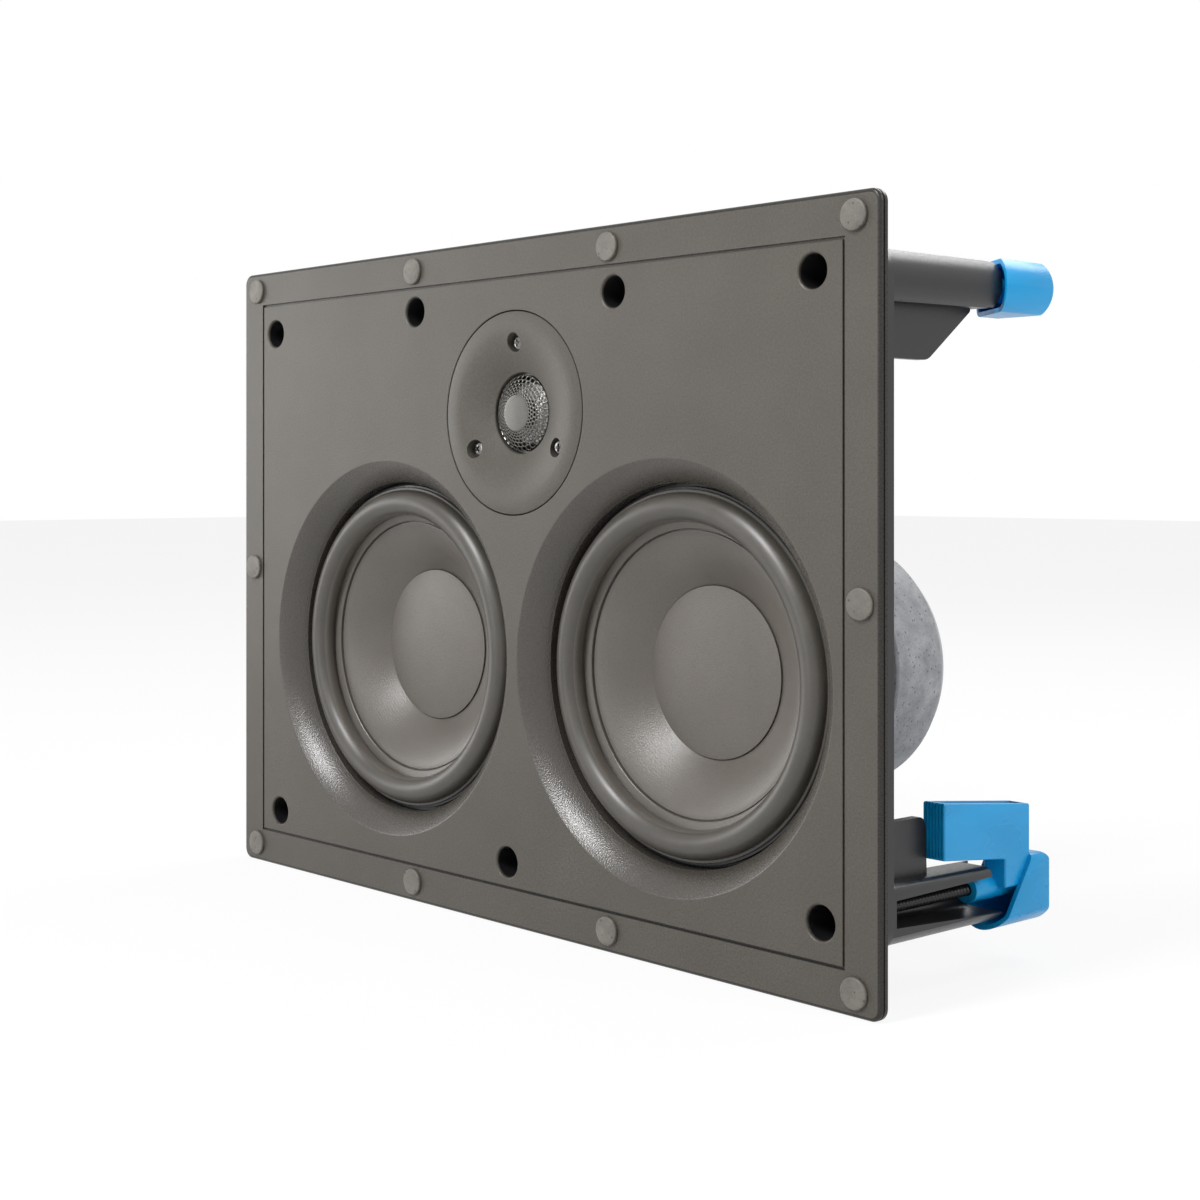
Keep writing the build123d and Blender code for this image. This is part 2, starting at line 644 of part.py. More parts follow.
def woofer_basket():
    """The basket: rim, raised land, windowed body with a spider ledge, and the seat for the motor."""
    ledge_back = SPIDER_DEPTH + CLOTH_THICKNESS
    body = BASKET_BODY_RADIUS
    basket = turned([
        (LAND_BORE, LAND_FRONT), (LAND_RADIUS, LAND_FRONT), (LAND_RADIUS, RIM_FRONT), (RIM_RADIUS, RIM_FRONT),
        (RIM_RADIUS, RIM_BACK), (BASKET_NECK_RADIUS, RIM_BACK), (body, ledge_back),
        (body - SPIDER_LEDGE, ledge_back + BASKET_WALL),
        (BASKET_SEAT_RADIUS, BASKET_DEPTH - BASKET_WALL), (BASKET_SEAT_RADIUS, BASKET_DEPTH),
        (BASKET_SEAT_BORE, BASKET_DEPTH), (BASKET_SEAT_BORE, BASKET_DEPTH - BASKET_WALL),
        (BASKET_SEAT_RADIUS - BASKET_WALL, BASKET_DEPTH - BASKET_WALL),
        (body - SPIDER_LEDGE - BASKET_WALL, ledge_back),
        (body - BASKET_WALL, ledge_back),
        (BASKET_NECK_RADIUS - BASKET_WALL, RIM_BACK + BASKET_WALL),
        (LAND_BORE, LAND_FRONT + BASKET_WALL),
    ])
    front = RIM_BACK + WINDOW_MARGIN
    back = ledge_back - WINDOW_MARGIN
    window = block((BASKET_SEAT_RADIUS, RIM_RADIUS), (front, back), (-WINDOW_WIDTH / 2, WINDOW_WIDTH / 2))
    for i in range(BASKET_WINDOWS):
        basket -= Rot(0, 360 * (i + 0.5) / BASKET_WINDOWS, 0) * window
    for x, z in around(WOOFER_SCREW_CIRCLE, WOOFER_SCREW_COUNT, 45):
        basket -= round_bar(WOOFER_SCREW_RADIUS + FIT_CLEARANCE, RIM_FRONT, RIM_BACK, x, z)
    return basket


def woofer_gasket():
    """Foam gasket between the rim and the baffle."""
    gasket = ring(RIM_RADIUS, MOUTH_RADIUS, SEAT_DEPTH, RIM_FRONT)
    for x, z in around(WOOFER_SCREW_CIRCLE, WOOFER_SCREW_COUNT, 45):
        gasket -= round_bar(WOOFER_SCREW_RADIUS + FIT_CLEARANCE, SEAT_DEPTH, RIM_FRONT, x, z)
    return gasket


def woofer_surround():
    """The half-roll rubber surround with its outer lip on the land and its inner lip on the cone."""
    t = RUBBER_THICKNESS
    lip_front = LAND_FRONT - t
    mid = (ROLL_OUTER + ROLL_INNER) / 2
    crest = lip_front - ROLL_HEIGHT + t
    cone_front = CONE_RIM_DEPTH - GLUE_GAP
    inner = ROLL_INNER - CONE_LIP
    outline = (
        Line((SURROUND_OUTER, LAND_FRONT), (SURROUND_OUTER, lip_front))
        + Line((SURROUND_OUTER, lip_front), (ROLL_OUTER, lip_front))
        + ThreePointArc((ROLL_OUTER, lip_front), (mid, crest), (ROLL_INNER, cone_front - t))
        + Polyline((ROLL_INNER, cone_front - t), (inner, cone_front - t), (inner, cone_front))
        + Line((inner, cone_front), (ROLL_INNER + t, cone_front))
        + ThreePointArc((ROLL_INNER + t, cone_front), (mid, crest + t), (ROLL_OUTER - t, LAND_FRONT))
        + Line((ROLL_OUTER - t, LAND_FRONT), (SURROUND_OUTER, LAND_FRONT))
    )
    return revolve(make_face(outline), Axis.Y)


def cone_front_depth(radius):
    """Depth of the cone's front face at a radius inside its flat rim."""
    rim_inner = ROLL_INNER - CONE_LIP - CONE_GROOVE_WIDTH
    slope = (DUST_CAP_DEPTH - CONE_RIM_DEPTH) / (rim_inner - DUST_CAP_RADIUS)
    return CONE_RIM_DEPTH + slope * (rim_inner - radius)


def woofer_cone():
    """The cone, from its flat rim with a fine groove down to the voice coil."""
    t = CONE_THICKNESS
    groove_outer = ROLL_INNER - CONE_LIP
    groove_inner = groove_outer - CONE_GROOVE_WIDTH
    neck = COIL_RADIUS + FORMER_THICKNESS + PART_CLEARANCE
    neck_depth = cone_front_depth(neck)
    return turned([
        (ROLL_INNER, CONE_RIM_DEPTH), (ROLL_INNER, CONE_RIM_DEPTH + t), (groove_inner, CONE_RIM_DEPTH + t * 1.3),
        (neck, neck_depth + t * 1.3), (neck, neck_depth), (groove_inner, CONE_RIM_DEPTH),
        (groove_inner, CONE_RIM_DEPTH + CONE_GROOVE_DEPTH), (groove_outer, CONE_RIM_DEPTH + CONE_GROOVE_DEPTH),
        (groove_outer, CONE_RIM_DEPTH),
    ])


def woofer_dust_cap():
    """The shallow domed dust cap, glued to the cone."""
    edge = cone_front_depth(DUST_CAP_RADIUS) - PART_CLEARANCE
    t = DUST_CAP_THICKNESS
    sphere = cap_sphere(DUST_CAP_RADIUS, DUST_CAP_RISE)
    back_centre = edge - DUST_CAP_RISE + sphere
    outline = (
        cap_arc(back_centre - t, sphere, DUST_CAP_RADIUS)
        + Line((DUST_CAP_RADIUS, edge - t), (DUST_CAP_RADIUS, edge))
        + cap_arc(back_centre, sphere, DUST_CAP_RADIUS)
        + Line((0, back_centre - sphere), (0, back_centre - sphere - t))
    )
    return revolve(make_face(outline), Axis.Y)


def woofer_voice_coil():
    """The former with its winding in the magnet gap."""
    front = cone_front_depth(COIL_RADIUS + FORMER_THICKNESS)
    back = front + FORMER_LENGTH
    former = ring(COIL_RADIUS + FORMER_THICKNESS, COIL_RADIUS, front, back)
    winding_front = BASKET_DEPTH - CONE_TRAVEL / 2
    return former + ring(COIL_RADIUS + FORMER_THICKNESS * 1.6, COIL_RADIUS, winding_front, back)


def woofer_spider():
    """The corrugated spider between the former and the basket ledge."""
    inner = COIL_RADIUS + FORMER_THICKNESS + GLUE_GAP
    outer = BASKET_BODY_RADIUS - BASKET_WALL - GLUE_GAP
    flat = SPIDER_LEDGE
    steps = 2 * SPIDER_WAVES
    pitch = (outer - inner - 2 * flat) / steps
    back = SPIDER_DEPTH + CLOTH_THICKNESS
    front_points = [(inner, SPIDER_DEPTH)]
    back_points = [(inner, back)]
    for i in range(steps + 1):
        rise = SPIDER_WAVE_HEIGHT * (i % 2)
        front_points.append((inner + flat + pitch * i, SPIDER_DEPTH - rise))
        back_points.append((inner + flat + pitch * i, back - rise))
    front_points.append((outer, SPIDER_DEPTH))
    back_points.append((outer, back))
    return turned(front_points + back_points[::-1])


def woofer_top_plate():
    """The steel ring in front of the magnet."""
    gap = COIL_RADIUS + FORMER_THICKNESS + COIL_GAP
    return ring(TOP_PLATE_RADIUS, gap, BASKET_DEPTH, TOP_PLATE_BACK)


def woofer_magnet():
    """The ferrite ring."""
    magnet = ring(MAGNET_RADIUS, MAGNET_BORE, TOP_PLATE_BACK, MAGNET_BACK)
    outer_edges = magnet.edges().filter_by(GeomType.CIRCLE).sort_by(SortBy.RADIUS)[-2:]
    return chamfer(outer_edges, MOTOR_CHAMFER)


def woofer_back_plate():
    """The back plate and vented pole piece, turned in one."""
    pole = COIL_RADIUS - COIL_GAP
    c = MOTOR_CHAMFER
    return turned([
        (POLE_VENT_RADIUS, BASKET_DEPTH), (pole - c, BASKET_DEPTH), (pole, BASKET_DEPTH + c),
        (pole, MAGNET_BACK), (BACK_PLATE_RADIUS, MAGNET_BACK), (BACK_PLATE_RADIUS, MOTOR_BACK - c),
        (BACK_PLATE_RADIUS - c, MOTOR_BACK), (POLE_VENT_RADIUS, MOTOR_BACK),
    ])


def tag_board_span():
    """Front and back depth of the terminal board."""
    back = BASKET_DEPTH - PART_CLEARANCE
    return back - TAG_BOARD_DEPTH, back


def tag_board_pad():
    """The pad on the basket that carries the terminal board."""
    front, back = tag_board_span()
    inside = BASKET_SEAT_RADIUS - BASKET_WALL / 2
    half = TAG_BOARD_HEIGHT / 4
    return block((inside, BASKET_BODY_RADIUS - SPIDER_LEDGE), (front + BASKET_WALL, back), (-half, half))


def woofer_terminals():
    """The terminal board with two push-on tags, standing on the basket's right side."""
    front, back = tag_board_span()
    x = BASKET_BODY_RADIUS - SPIDER_LEDGE
    half = TAG_BOARD_HEIGHT / 2
    board = block((x, x + TAG_BOARD_THICKNESS), (front, back), (-half, half))
    middle = (front + back) / 2
    outside = x + TAG_BOARD_THICKNESS
    tag_x = (outside, outside + TAG_THICKNESS)
    tag_y = (middle - TAG_WIDTH / 2, middle + TAG_WIDTH / 2)
    start = half - TAG_OVERLAP
    board += block(tag_x, tag_y, (start, start + TAG_LENGTH))
    return board + block(tag_x, tag_y, (-start - TAG_LENGTH, -start))


def woofer_screws():
    """Screws that hold the basket to the baffle from behind."""
    length = WOOFER_SCREW_LENGTH - FIT_CLEARANCE
    one = screw(SCREW_HEAD_RADIUS, SCREW_HEAD_HEIGHT, WOOFER_SCREW_RADIUS, length, RIM_BACK + SCREW_HEAD_HEIGHT, False)
    places = around(WOOFER_SCREW_CIRCLE, WOOFER_SCREW_COUNT, 45)
    return Compound(children=[Pos(x, 0, z) * one for x, z in places])


# Tweeter, turned about its own axis

def dish_depth(radius):
    """Depth of the dish's front face at a radius."""
    share = (DISH_RADIUS - radius) / (DISH_RADIUS - LENS_OPENING)
    return FRONT + DISH_DEPTH * share ** 1.6


def tweeter_faceplate():
    """The round plate with its shallow dish, lens opening and three counterbored holes."""
    middle = (DISH_RADIUS + LENS_OPENING) / 2
    lens_seat = POCKET_FLOOR - LENS_RIM
    outline = (
        Line((TWEETER_RADIUS, POCKET_FLOOR), (TWEETER_RADIUS, FRONT))
        + Line((TWEETER_RADIUS, FRONT), (DISH_RADIUS, FRONT))
        + ThreePointArc((DISH_RADIUS, FRONT), (middle, dish_depth(middle)), (LENS_OPENING, dish_depth(LENS_OPENING)))
        + Polyline(
            (LENS_OPENING, dish_depth(LENS_OPENING)), (LENS_OPENING, lens_seat),
            (LENS_RADIUS + FIT_CLEARANCE, lens_seat), (LENS_RADIUS + FIT_CLEARANCE, POCKET_FLOOR),
            (TWEETER_RADIUS, POCKET_FLOOR),
        )
    )
    plate = revolve(make_face(outline), Axis.Y)
    head_seat = FRONT + TWEETER_HEAD_DEPTH + TWEETER_HEAD_HEIGHT
    for x, z in around(TWEETER_SCREW_CIRCLE, TWEETER_SCREW_COUNT, 90):
        plate -= round_bar(TWEETER_COUNTERBORE, FRONT, head_seat, x, z)
        plate -= round_bar(TWEETER_SCREW_RADIUS + FIT_CLEARANCE, head_seat, POCKET_FLOOR, x, z)
    return plate


def tweeter_lens():
    """The domed lens with a plain centre and rings of holes that grow outwards."""
    rim = POCKET_FLOOR - LENS_RIM
    base = rim - LENS_SKIRT
    apex = base - LENS_RISE
    sphere = cap_sphere(LENS_BASE_RADIUS, LENS_RISE)
    inner = sphere - LENS_THICKNESS
    centre = apex + sphere
    foot = LENS_BASE_RADIUS - LENS_THICKNESS
    foot_front = centre - math.sqrt(inner ** 2 - foot ** 2)
    outline = (
        cap_arc(centre, sphere, LENS_BASE_RADIUS)
        + Polyline(
            (LENS_BASE_RADIUS, base), (LENS_BASE_RADIUS, rim), (LENS_RADIUS, rim), (LENS_RADIUS, POCKET_FLOOR),
            (foot, POCKET_FLOOR), (foot, foot_front),
        )
        + cap_arc(centre, inner, foot)
        + Line((0, apex), (0, apex + LENS_THICKNESS))
    )
    lens = revolve(make_face(outline), Axis.Y)
    holes = []
    for row in range(LENS_RINGS):
        reach = LENS_CENTRE_RADIUS + (LENS_BASE_RADIUS - LENS_CENTRE_RADIUS) * (row + 0.6) / LENS_RINGS
        hole_radius = LENS_HOLE_RADIUS * reach / LENS_BASE_RADIUS * 1.25
        tilt = math.degrees(math.asin(reach / sphere))
        bar = Pos(0, centre, 0) * Rot(0, 0, tilt) * round_bar(hole_radius, -sphere - 1, -inner + 1)
        for i in range(LENS_HOLES_PER_RING):
            turn = 360 * (i + 0.5 * (row % 2)) / LENS_HOLES_PER_RING
            holes.append(Rot(0, turn, 0) * bar)
    return lens - holes


def tweeter_dome():
    """The soft dome with its short coil former."""
    edge = POCKET_FLOOR + TWEETER_GAP
    back = edge + 2 * TWEETER_PLATE_THICKNESS
    t = DOME_THICKNESS
    apex = edge - DOME_RISE
    sphere = cap_sphere(DOME_RADIUS, DOME_RISE)
    centre = apex + sphere
    foot = DOME_RADIUS - t
    foot_front = centre - math.sqrt((sphere - t) ** 2 - foot ** 2)
    outline = (
        cap_arc(centre, sphere, DOME_RADIUS)
        + Polyline((DOME_RADIUS, edge), (DOME_RADIUS, back), (foot, back), (foot, foot_front))
        + cap_arc(centre, sphere - t, foot)
        + Line((0, apex + t), (0, apex))
    )
    return revolve(make_face(outline), Axis.Y)


def tweeter_plate_front():
    """Depth of the front of the tweeter's top plate."""
    return POCKET_FLOOR + 2 * TWEETER_GAP


def tweeter_surround():
    """The dome's small roll surround, clamped on the top plate."""
    inner = DOME_RADIUS + GLUE_GAP
    front = tweeter_plate_front() - DOME_THICKNESS
    return ring(TWEETER_SURROUND_RADIUS, inner, front, front + DOME_THICKNESS)


def tweeter_top_plate():
    """The front plate of the tweeter's motor, seated on the face plate by a raised edge."""
    front = tweeter_plate_front()
    plate = ring(TWEETER_MOTOR_RADIUS, DOME_RADIUS + TWEETER_GAP, front, front + TWEETER_PLATE_THICKNESS)
    edge = ring(TWEETER_MOTOR_RADIUS, TWEETER_SURROUND_RADIUS + FIT_CLEARANCE, POCKET_FLOOR, front)
    return plate + edge


def tweeter_magnet():
    """The ring magnet of the tweeter."""
    front = tweeter_plate_front() + TWEETER_PLATE_THICKNESS
    return ring(TWEETER_MOTOR_RADIUS, DOME_RADIUS + 2 * TWEETER_GAP, front, front + TWEETER_MAGNET_THICKNESS)


def tweeter_back_plate():
    """The tweeter's back plate and pole piece, with a vent into the rear chamber."""
    front = tweeter_plate_front()
    back = front + TWEETER_PLATE_THICKNESS + TWEETER_MAGNET_THICKNESS
    pole = DOME_RADIUS - DOME_THICKNESS - TWEETER_GAP
    vent = pole / 3
    return turned([
        (vent, front), (pole, front), (pole, back), (TWEETER_MOTOR_RADIUS, back),
        (TWEETER_MOTOR_RADIUS, back + TWEETER_PLATE_THICKNESS), (vent, back + TWEETER_PLATE_THICKNESS),
    ])


def tweeter_rear_chamber():
    """The closed plastic cup behind the tweeter's motor."""
    front = tweeter_plate_front() + 2 * TWEETER_PLATE_THICKNESS + TWEETER_MAGNET_THICKNESS
    back = front + TWEETER_CHAMBER_DEPTH
    cup = round_bar(TWEETER_MOTOR_RADIUS, front, back)
    cup = fillet(cup.edges().sort_by(Axis.Y)[-1], DOG_WALL)
    return cup - round_bar(TWEETER_MOTOR_RADIUS - DOG_WALL, front, back - DOG_WALL)


def tweeter_screws():
    """Three bright screws in the face plate's counterbores."""
    length = TWEETER_SCREW_LENGTH - FIT_CLEARANCE
    head_front = FRONT + TWEETER_HEAD_DEPTH
    one = screw(TWEETER_HEAD_RADIUS, TWEETER_HEAD_HEIGHT, TWEETER_SCREW_RADIUS, length, head_front)
    places = around(TWEETER_SCREW_CIRCLE, TWEETER_SCREW_COUNT, 90)
    return Compound(children=[Pos(x, 0, z) * one for x, z in places])


# Crossover, in a frame at the board's centre on its rear face

def crossover_board():
    """The green circuit board on its four standoffs."""
    outline = RectangleRounded(BOARD_WIDTH, BOARD_HEIGHT, STANDOFF_INSET / 2)
    board = Pos(BOARD_CENTRE_X, 0, BOARD_CENTRE_Z) * at_depth(outline, BOARD_FRONT, BOARD_BACK)
    for x, z in standoff_places():
        board -= round_bar(BOARD_SCREW_RADIUS + FIT_CLEARANCE, BOARD_FRONT, BOARD_BACK, x, z)
    return board


def board_screws():
    """Four screws through the board into its standoffs."""
    length = BOARD_THICKNESS + BOARD_SCREW_LENGTH - 2 * FIT_CLEARANCE
    one = screw(
        BOARD_HEAD_RADIUS, BOARD_HEAD_HEIGHT, BOARD_SCREW_RADIUS, length, BOARD_BACK + BOARD_HEAD_HEIGHT, False
    )
    return Compound(children=[Pos(x, 0, z) * one for x, z in standoff_places()])


def on_board(x, z, turn=0.0):
    """A place on the board's rear face, from the board's centre, turned in the board's plane."""
    return Location((BOARD_CENTRE_X + x, BOARD_BACK, BOARD_CENTRE_Z + z), (0, turn, 0))


def air_coil(radius, height):
    """A wound coil on a flanged bobbin, standing on the board."""
    f = COIL_FLANGE
    return turned([
        (COIL_BORE, 0), (radius, 0), (radius, f), (radius - f, f), (radius - f, height - f), (radius, height - f),
        (radius, height), (COIL_BORE, height),
    ])


def capacitor(radius, length):
    """A film capacitor lying on the board along X, with rounded ends."""
    body = Pos(0, radius, 0) * Rot(0, 90, 0) * Cylinder(radius, length)
    return chamfer(body.edges().filter_by(GeomType.CIRCLE), radius / 5)


def resistor():
    """The ceramic resistor block."""
    half = RESISTOR_LENGTH / 2
    body = block((-half, half), (0, RESISTOR_SIDE), (-RESISTOR_SIDE / 2, RESISTOR_SIDE / 2))
    return chamfer(body.edges().filter_by(Axis.X), RESISTOR_SIDE / 10)


def button_places():
    """X of the two terminal buttons from the board's centre."""
    return {"black": -BUTTON_SPACING / 2, "red": BUTTON_SPACING / 2}


def terminal_block():
    """The push terminal body with two button wells and two wire holes."""
    half = TERMINAL_WIDTH / 2
    top = TERMINAL_HEIGHT / 2
    body = block((-half, half), (0, TERMINAL_DEPTH), (-top, top))
    body = chamfer(body.edges().filter_by(Axis.Y), DOG_WALL / 2)
    well = BUTTON_WIDTH / 2 + BUTTON_CLEARANCE
    floor = TERMINAL_DEPTH - BUTTON_TRAVEL - BUTTON_PROUD
    for x in button_places().values():
        well_z = (top - BUTTON_HEIGHT - 2 * BUTTON_CLEARANCE - 1, top - 1)
        body -= block((x - well, x + well), (floor, TERMINAL_DEPTH), well_z)
        body -= round_bar(TERMINAL_WIRE_RADIUS, DOG_WALL, TERMINAL_DEPTH, x, -top / 2)
    return body


def terminal_button(x):
    """A push button that opens one wire hole."""
    top = TERMINAL_HEIGHT / 2 - 1 - BUTTON_CLEARANCE
    front = TERMINAL_DEPTH - BUTTON_PROUD + BUTTON_CLEARANCE
    half = BUTTON_WIDTH / 2
    body = block((x - half, x + half), (front, TERMINAL_DEPTH + BUTTON_PROUD), (top - BUTTON_HEIGHT, top))
    return fillet(body.edges().group_by(Axis.Y)[-1], DOG_WALL / 2)


def woofer_nodes(side):
    """Every piece of one woofer at its place, by node name."""
    place = Pos(WOOFER_X[side], 0, WOOFER_HEIGHT)
    pieces = {
        "basket": woofer_basket() + tag_board_pad(),
        "gasket": woofer_gasket(),
        "surround": woofer_surround(),
        "cone": woofer_cone(),
        "dust_cap": woofer_dust_cap(),
        "voice_coil": woofer_voice_coil(),
        "spider": woofer_spider(),
        "top_plate": woofer_top_plate(),
        "magnet": woofer_magnet(),
        "back_plate": woofer_back_plate(),
        "terminals": woofer_terminals(),
        "screws": woofer_screws(),
    }
    return {f"{side}_woofer_{name}": place * piece for name, piece in pieces.items()}


def tweeter_nodes():
    """Every piece of the tweeter at its place, by node name."""
    place = Pos(DRIVER_SHIFT, 0, TWEETER_HEIGHT)
    pieces = {
        "faceplate": tweeter_faceplate(),
        "lens": tweeter_lens(),
        "dome": tweeter_dome(),
        "surround": tweeter_surround(),
        "top_plate": tweeter_top_plate(),
        "magnet": tweeter_magnet(),
        "back_plate": tweeter_back_plate(),
        "rear_chamber": tweeter_rear_chamber(),
        "screws": tweeter_screws(),
    }
    return {f"tweeter_{name}": place * piece for name, piece in pieces.items()}


def clamp_nodes():
    """The seven screws and the seven dogs at their places, by node name."""
    nodes = {}
    screw_piece = clamp_screw()
    dog_piece = clamp_dog()
    for place in clamp_places():
        nodes[f"clamp_screw_{place[0]}"] = clamp_location(place) * screw_piece
        nodes[f"clamp_dog_{place[0]}"] = clamp_location(place) * dog_piece
    return nodes


def crossover_nodes():
    """The crossover's pieces at their places, by node name."""
    buttons = button_places()
    terminal = on_board(10.5, -9.5)
    return {
        "crossover_board": crossover_board(),
        "crossover_screws": board_screws(),
        "crossover_large_coil": on_board(-13.5, 5.5) * air_coil(LARGE_COIL_RADIUS, LARGE_COIL_HEIGHT),
        "crossover_small_coil": on_board(8.5, 7.7) * air_coil(SMALL_COIL_RADIUS, SMALL_COIL_HEIGHT),
        "crossover_large_capacitor": on_board(22, 6, 90)
        * capacitor(LARGE_CAPACITOR_RADIUS, LARGE_CAPACITOR_LENGTH),
        "crossover_small_capacitor": on_board(-15.5, -13.5)
        * capacitor(SMALL_CAPACITOR_RADIUS, SMALL_CAPACITOR_LENGTH),
        "crossover_resistor": on_board(-29, 0, 90) * resistor(),
        "terminal_block": terminal * terminal_block(),
        "terminal_button_red": terminal * terminal_button(buttons["red"]),
        "terminal_button_black": terminal * terminal_button(buttons["black"]),
    }


nodes = {"baffle_frame": baffle_frame(), "grille_magnets": grille_magnets()}
nodes |= tweeter_nodes()
nodes |= woofer_nodes("left")
nodes |= woofer_nodes("right")
nodes |= clamp_nodes()
nodes |= crossover_nodes()

os.makedirs("parts", exist_ok=True)
for name, shape in nodes.items():
    export_step(shape, f"parts/{name}.step")
print(len(nodes), "nodes")
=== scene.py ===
"""Dresses the in wall speaker: baffle moulding, two woofers, tweeter, seven clamps and the crossover.

All lengths are in metres. The front faces -Y, and the flange's rear face lies at Y = 0.
"""

import json
import math

import bmesh
import bpy
from bpy.props import FloatProperty, FloatVectorProperty, IntProperty, PointerProperty
from mathutils import Matrix, Vector

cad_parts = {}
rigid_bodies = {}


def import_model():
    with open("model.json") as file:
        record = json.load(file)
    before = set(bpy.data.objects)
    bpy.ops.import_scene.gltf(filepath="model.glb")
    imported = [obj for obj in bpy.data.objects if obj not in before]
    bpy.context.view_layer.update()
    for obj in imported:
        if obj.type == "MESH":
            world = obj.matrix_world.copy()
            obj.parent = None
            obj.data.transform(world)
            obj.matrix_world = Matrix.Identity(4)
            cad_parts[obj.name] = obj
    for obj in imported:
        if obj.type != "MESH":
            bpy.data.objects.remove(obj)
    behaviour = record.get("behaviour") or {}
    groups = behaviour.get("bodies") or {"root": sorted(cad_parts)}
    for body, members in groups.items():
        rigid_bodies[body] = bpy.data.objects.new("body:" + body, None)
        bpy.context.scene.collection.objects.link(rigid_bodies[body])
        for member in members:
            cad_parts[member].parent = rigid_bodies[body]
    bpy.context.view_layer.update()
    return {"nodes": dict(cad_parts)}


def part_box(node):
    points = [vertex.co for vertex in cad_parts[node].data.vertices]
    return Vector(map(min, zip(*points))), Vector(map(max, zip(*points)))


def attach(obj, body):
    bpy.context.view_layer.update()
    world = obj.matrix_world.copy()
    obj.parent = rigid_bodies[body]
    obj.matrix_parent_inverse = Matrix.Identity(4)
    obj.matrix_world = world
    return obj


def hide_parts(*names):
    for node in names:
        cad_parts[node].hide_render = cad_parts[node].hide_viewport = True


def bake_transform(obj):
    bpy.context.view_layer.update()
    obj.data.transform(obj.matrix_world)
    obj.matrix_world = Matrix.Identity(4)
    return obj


bl_info = {
    "name": "In wall speaker",
    "version": (1, 0, 0),
    "blender": (4, 5, 0),
    "location": "3D View > Sidebar > Speaker",
    "description": "Builds the dressed in wall speaker on its CAD frame",
    "category": "Object",
}

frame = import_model()
MM = 0.001

CLAMPS = (
    "top_left", "top_middle_left", "top_middle_right", "top_right", "bottom_left", "bottom_middle", "bottom_right",
)
CLAMP_TURNS = {
    "top_left": 180, "top_middle_left": -90, "top_middle_right": -90, "top_right": -90,
    "bottom_left": 90, "bottom_middle": 90, "bottom_right": 0,
}
SIDES = ("left", "right")

# Sizes shared by several pieces, in millimetres
FRONT = -3.5
DRIVER_HOLE = 5.15
SCREW_WELL = 4.7
WELL_FLOOR = 16.0
POST_END = 73.6
BOW_END = 76.2
PAST_END = 78.0
TWEETER_SCREW_CIRCLE = 24.3
WOOFER_SCREW_CIRCLE = 66.0
CAP_RADIUS = 28.1
CONE_BORE = 13.6
CONE_RIM = 46.8
CONE_CURVE = 1.35

# What the photo's camera is fitted to, in pixels of the photo
PHOTO_SIDE = 1200
MIDDLE_X = 500
HORIZON_Y = 478.07


def middle_of(node):
    """Centre of a CAD node's box in X and Z, in metres."""
    low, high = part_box(node)
    return (low.x + high.x) / 2, (low.z + high.z) / 2


def length(name, value, description):
    """A size in metres, given in millimetres."""
    return FloatProperty(name=name, description=description, default=value * MM, unit="LENGTH", precision=5)


def colour(name, rgb, description):
    """A colour given as it looks on screen, from 0 to 255."""
    linear = [((c / 255 + 0.055) / 1.055) ** 2.4 if c > 10 else c / 255 / 12.92 for c in rgb]
    return FloatVectorProperty(
        name=name, description=description, default=linear, size=3, subtype="COLOR", min=0.0, max=1.0
    )


class SpeakerBaffleSizes(bpy.types.PropertyGroup):
    width: length("Width", 323.5, "Width of the flange")
    height: length("Height", 237.0, "Height of the flange")
    corner: length("Corner", 4.0, "Radius of the flange's corners")
    thickness: length("Thickness", 3.5, "Depth of the flange")
    border: length("Border", 13.4, "Width of the smooth border")
    line: length("Line groove", 0.8, "Width of the fine groove inside the border")
    post_length: length("Post length", 73.6, "Length of a clamp post")
    bow_length: length("Bowed side", 76.2, "Depth that the bowed side of a post reaches")


class SpeakerDriverSizes(bpy.types.PropertyGroup):
    roll_height: length("Roll height", 5.2, "Height of the surround's half roll")
    cone_groove: length("Cone groove", 0.5, "Width of the fine line at the cone's rim")
    cone_depth: length("Cone rim depth", 11.2, "Depth of the cone's rim")
    cap_depth: length("Dust cap depth", 22.0, "Depth of the cone where the dust cap ends")
    cap_rise: length("Dust cap rise", 1.4, "Bulge of the dust cap")
    lens_rows: IntProperty(name="Lens rows", description="Rows of holes in the tweeter lens", default=6, min=2)
    lens_around: IntProperty(name="Holes a row", description="Holes in one row of the tweeter lens", default=34, min=8)
    lens_hole: FloatProperty(
        name="Hole share", description="Share of its cell that a lens hole takes", default=0.43, min=0.1, max=0.45
    )


class SpeakerClampSizes(bpy.types.PropertyGroup):
    pitch: length("Thread pitch", 1.6, "Pitch of the clamp screws")
    thread_depth: length("Thread depth", 0.38, "Depth of the clamp screws' thread")
    round: length("Moulded round", 0.35, "Small round on the clamp dogs' edges")


class SpeakerColours(bpy.types.PropertyGroup):
    panel: colour("Panel", (73, 69, 63), "Spark-eroded inner panel")
    flare: colour("Flare", (64, 60, 55), "Colour of the two flared mouths")
    border: colour("Border", (44, 42, 39), "Smooth border")
    rear: colour("Rear moulding", (26, 26, 28), "Collar, posts and gussets")
    cone: colour("Cone", (88, 83, 77), "Cones and dust caps")
    rubber: colour("Rubber", (68, 65, 60), "Surrounds")
    clamp: colour("Clamp", (10, 156, 218), "Clamp dogs")
    ferrite: colour("Ferrite", (148, 149, 152), "Magnet rings")
    disc: colour("Magnet discs", (98, 94, 88), "Grille magnets on the border")


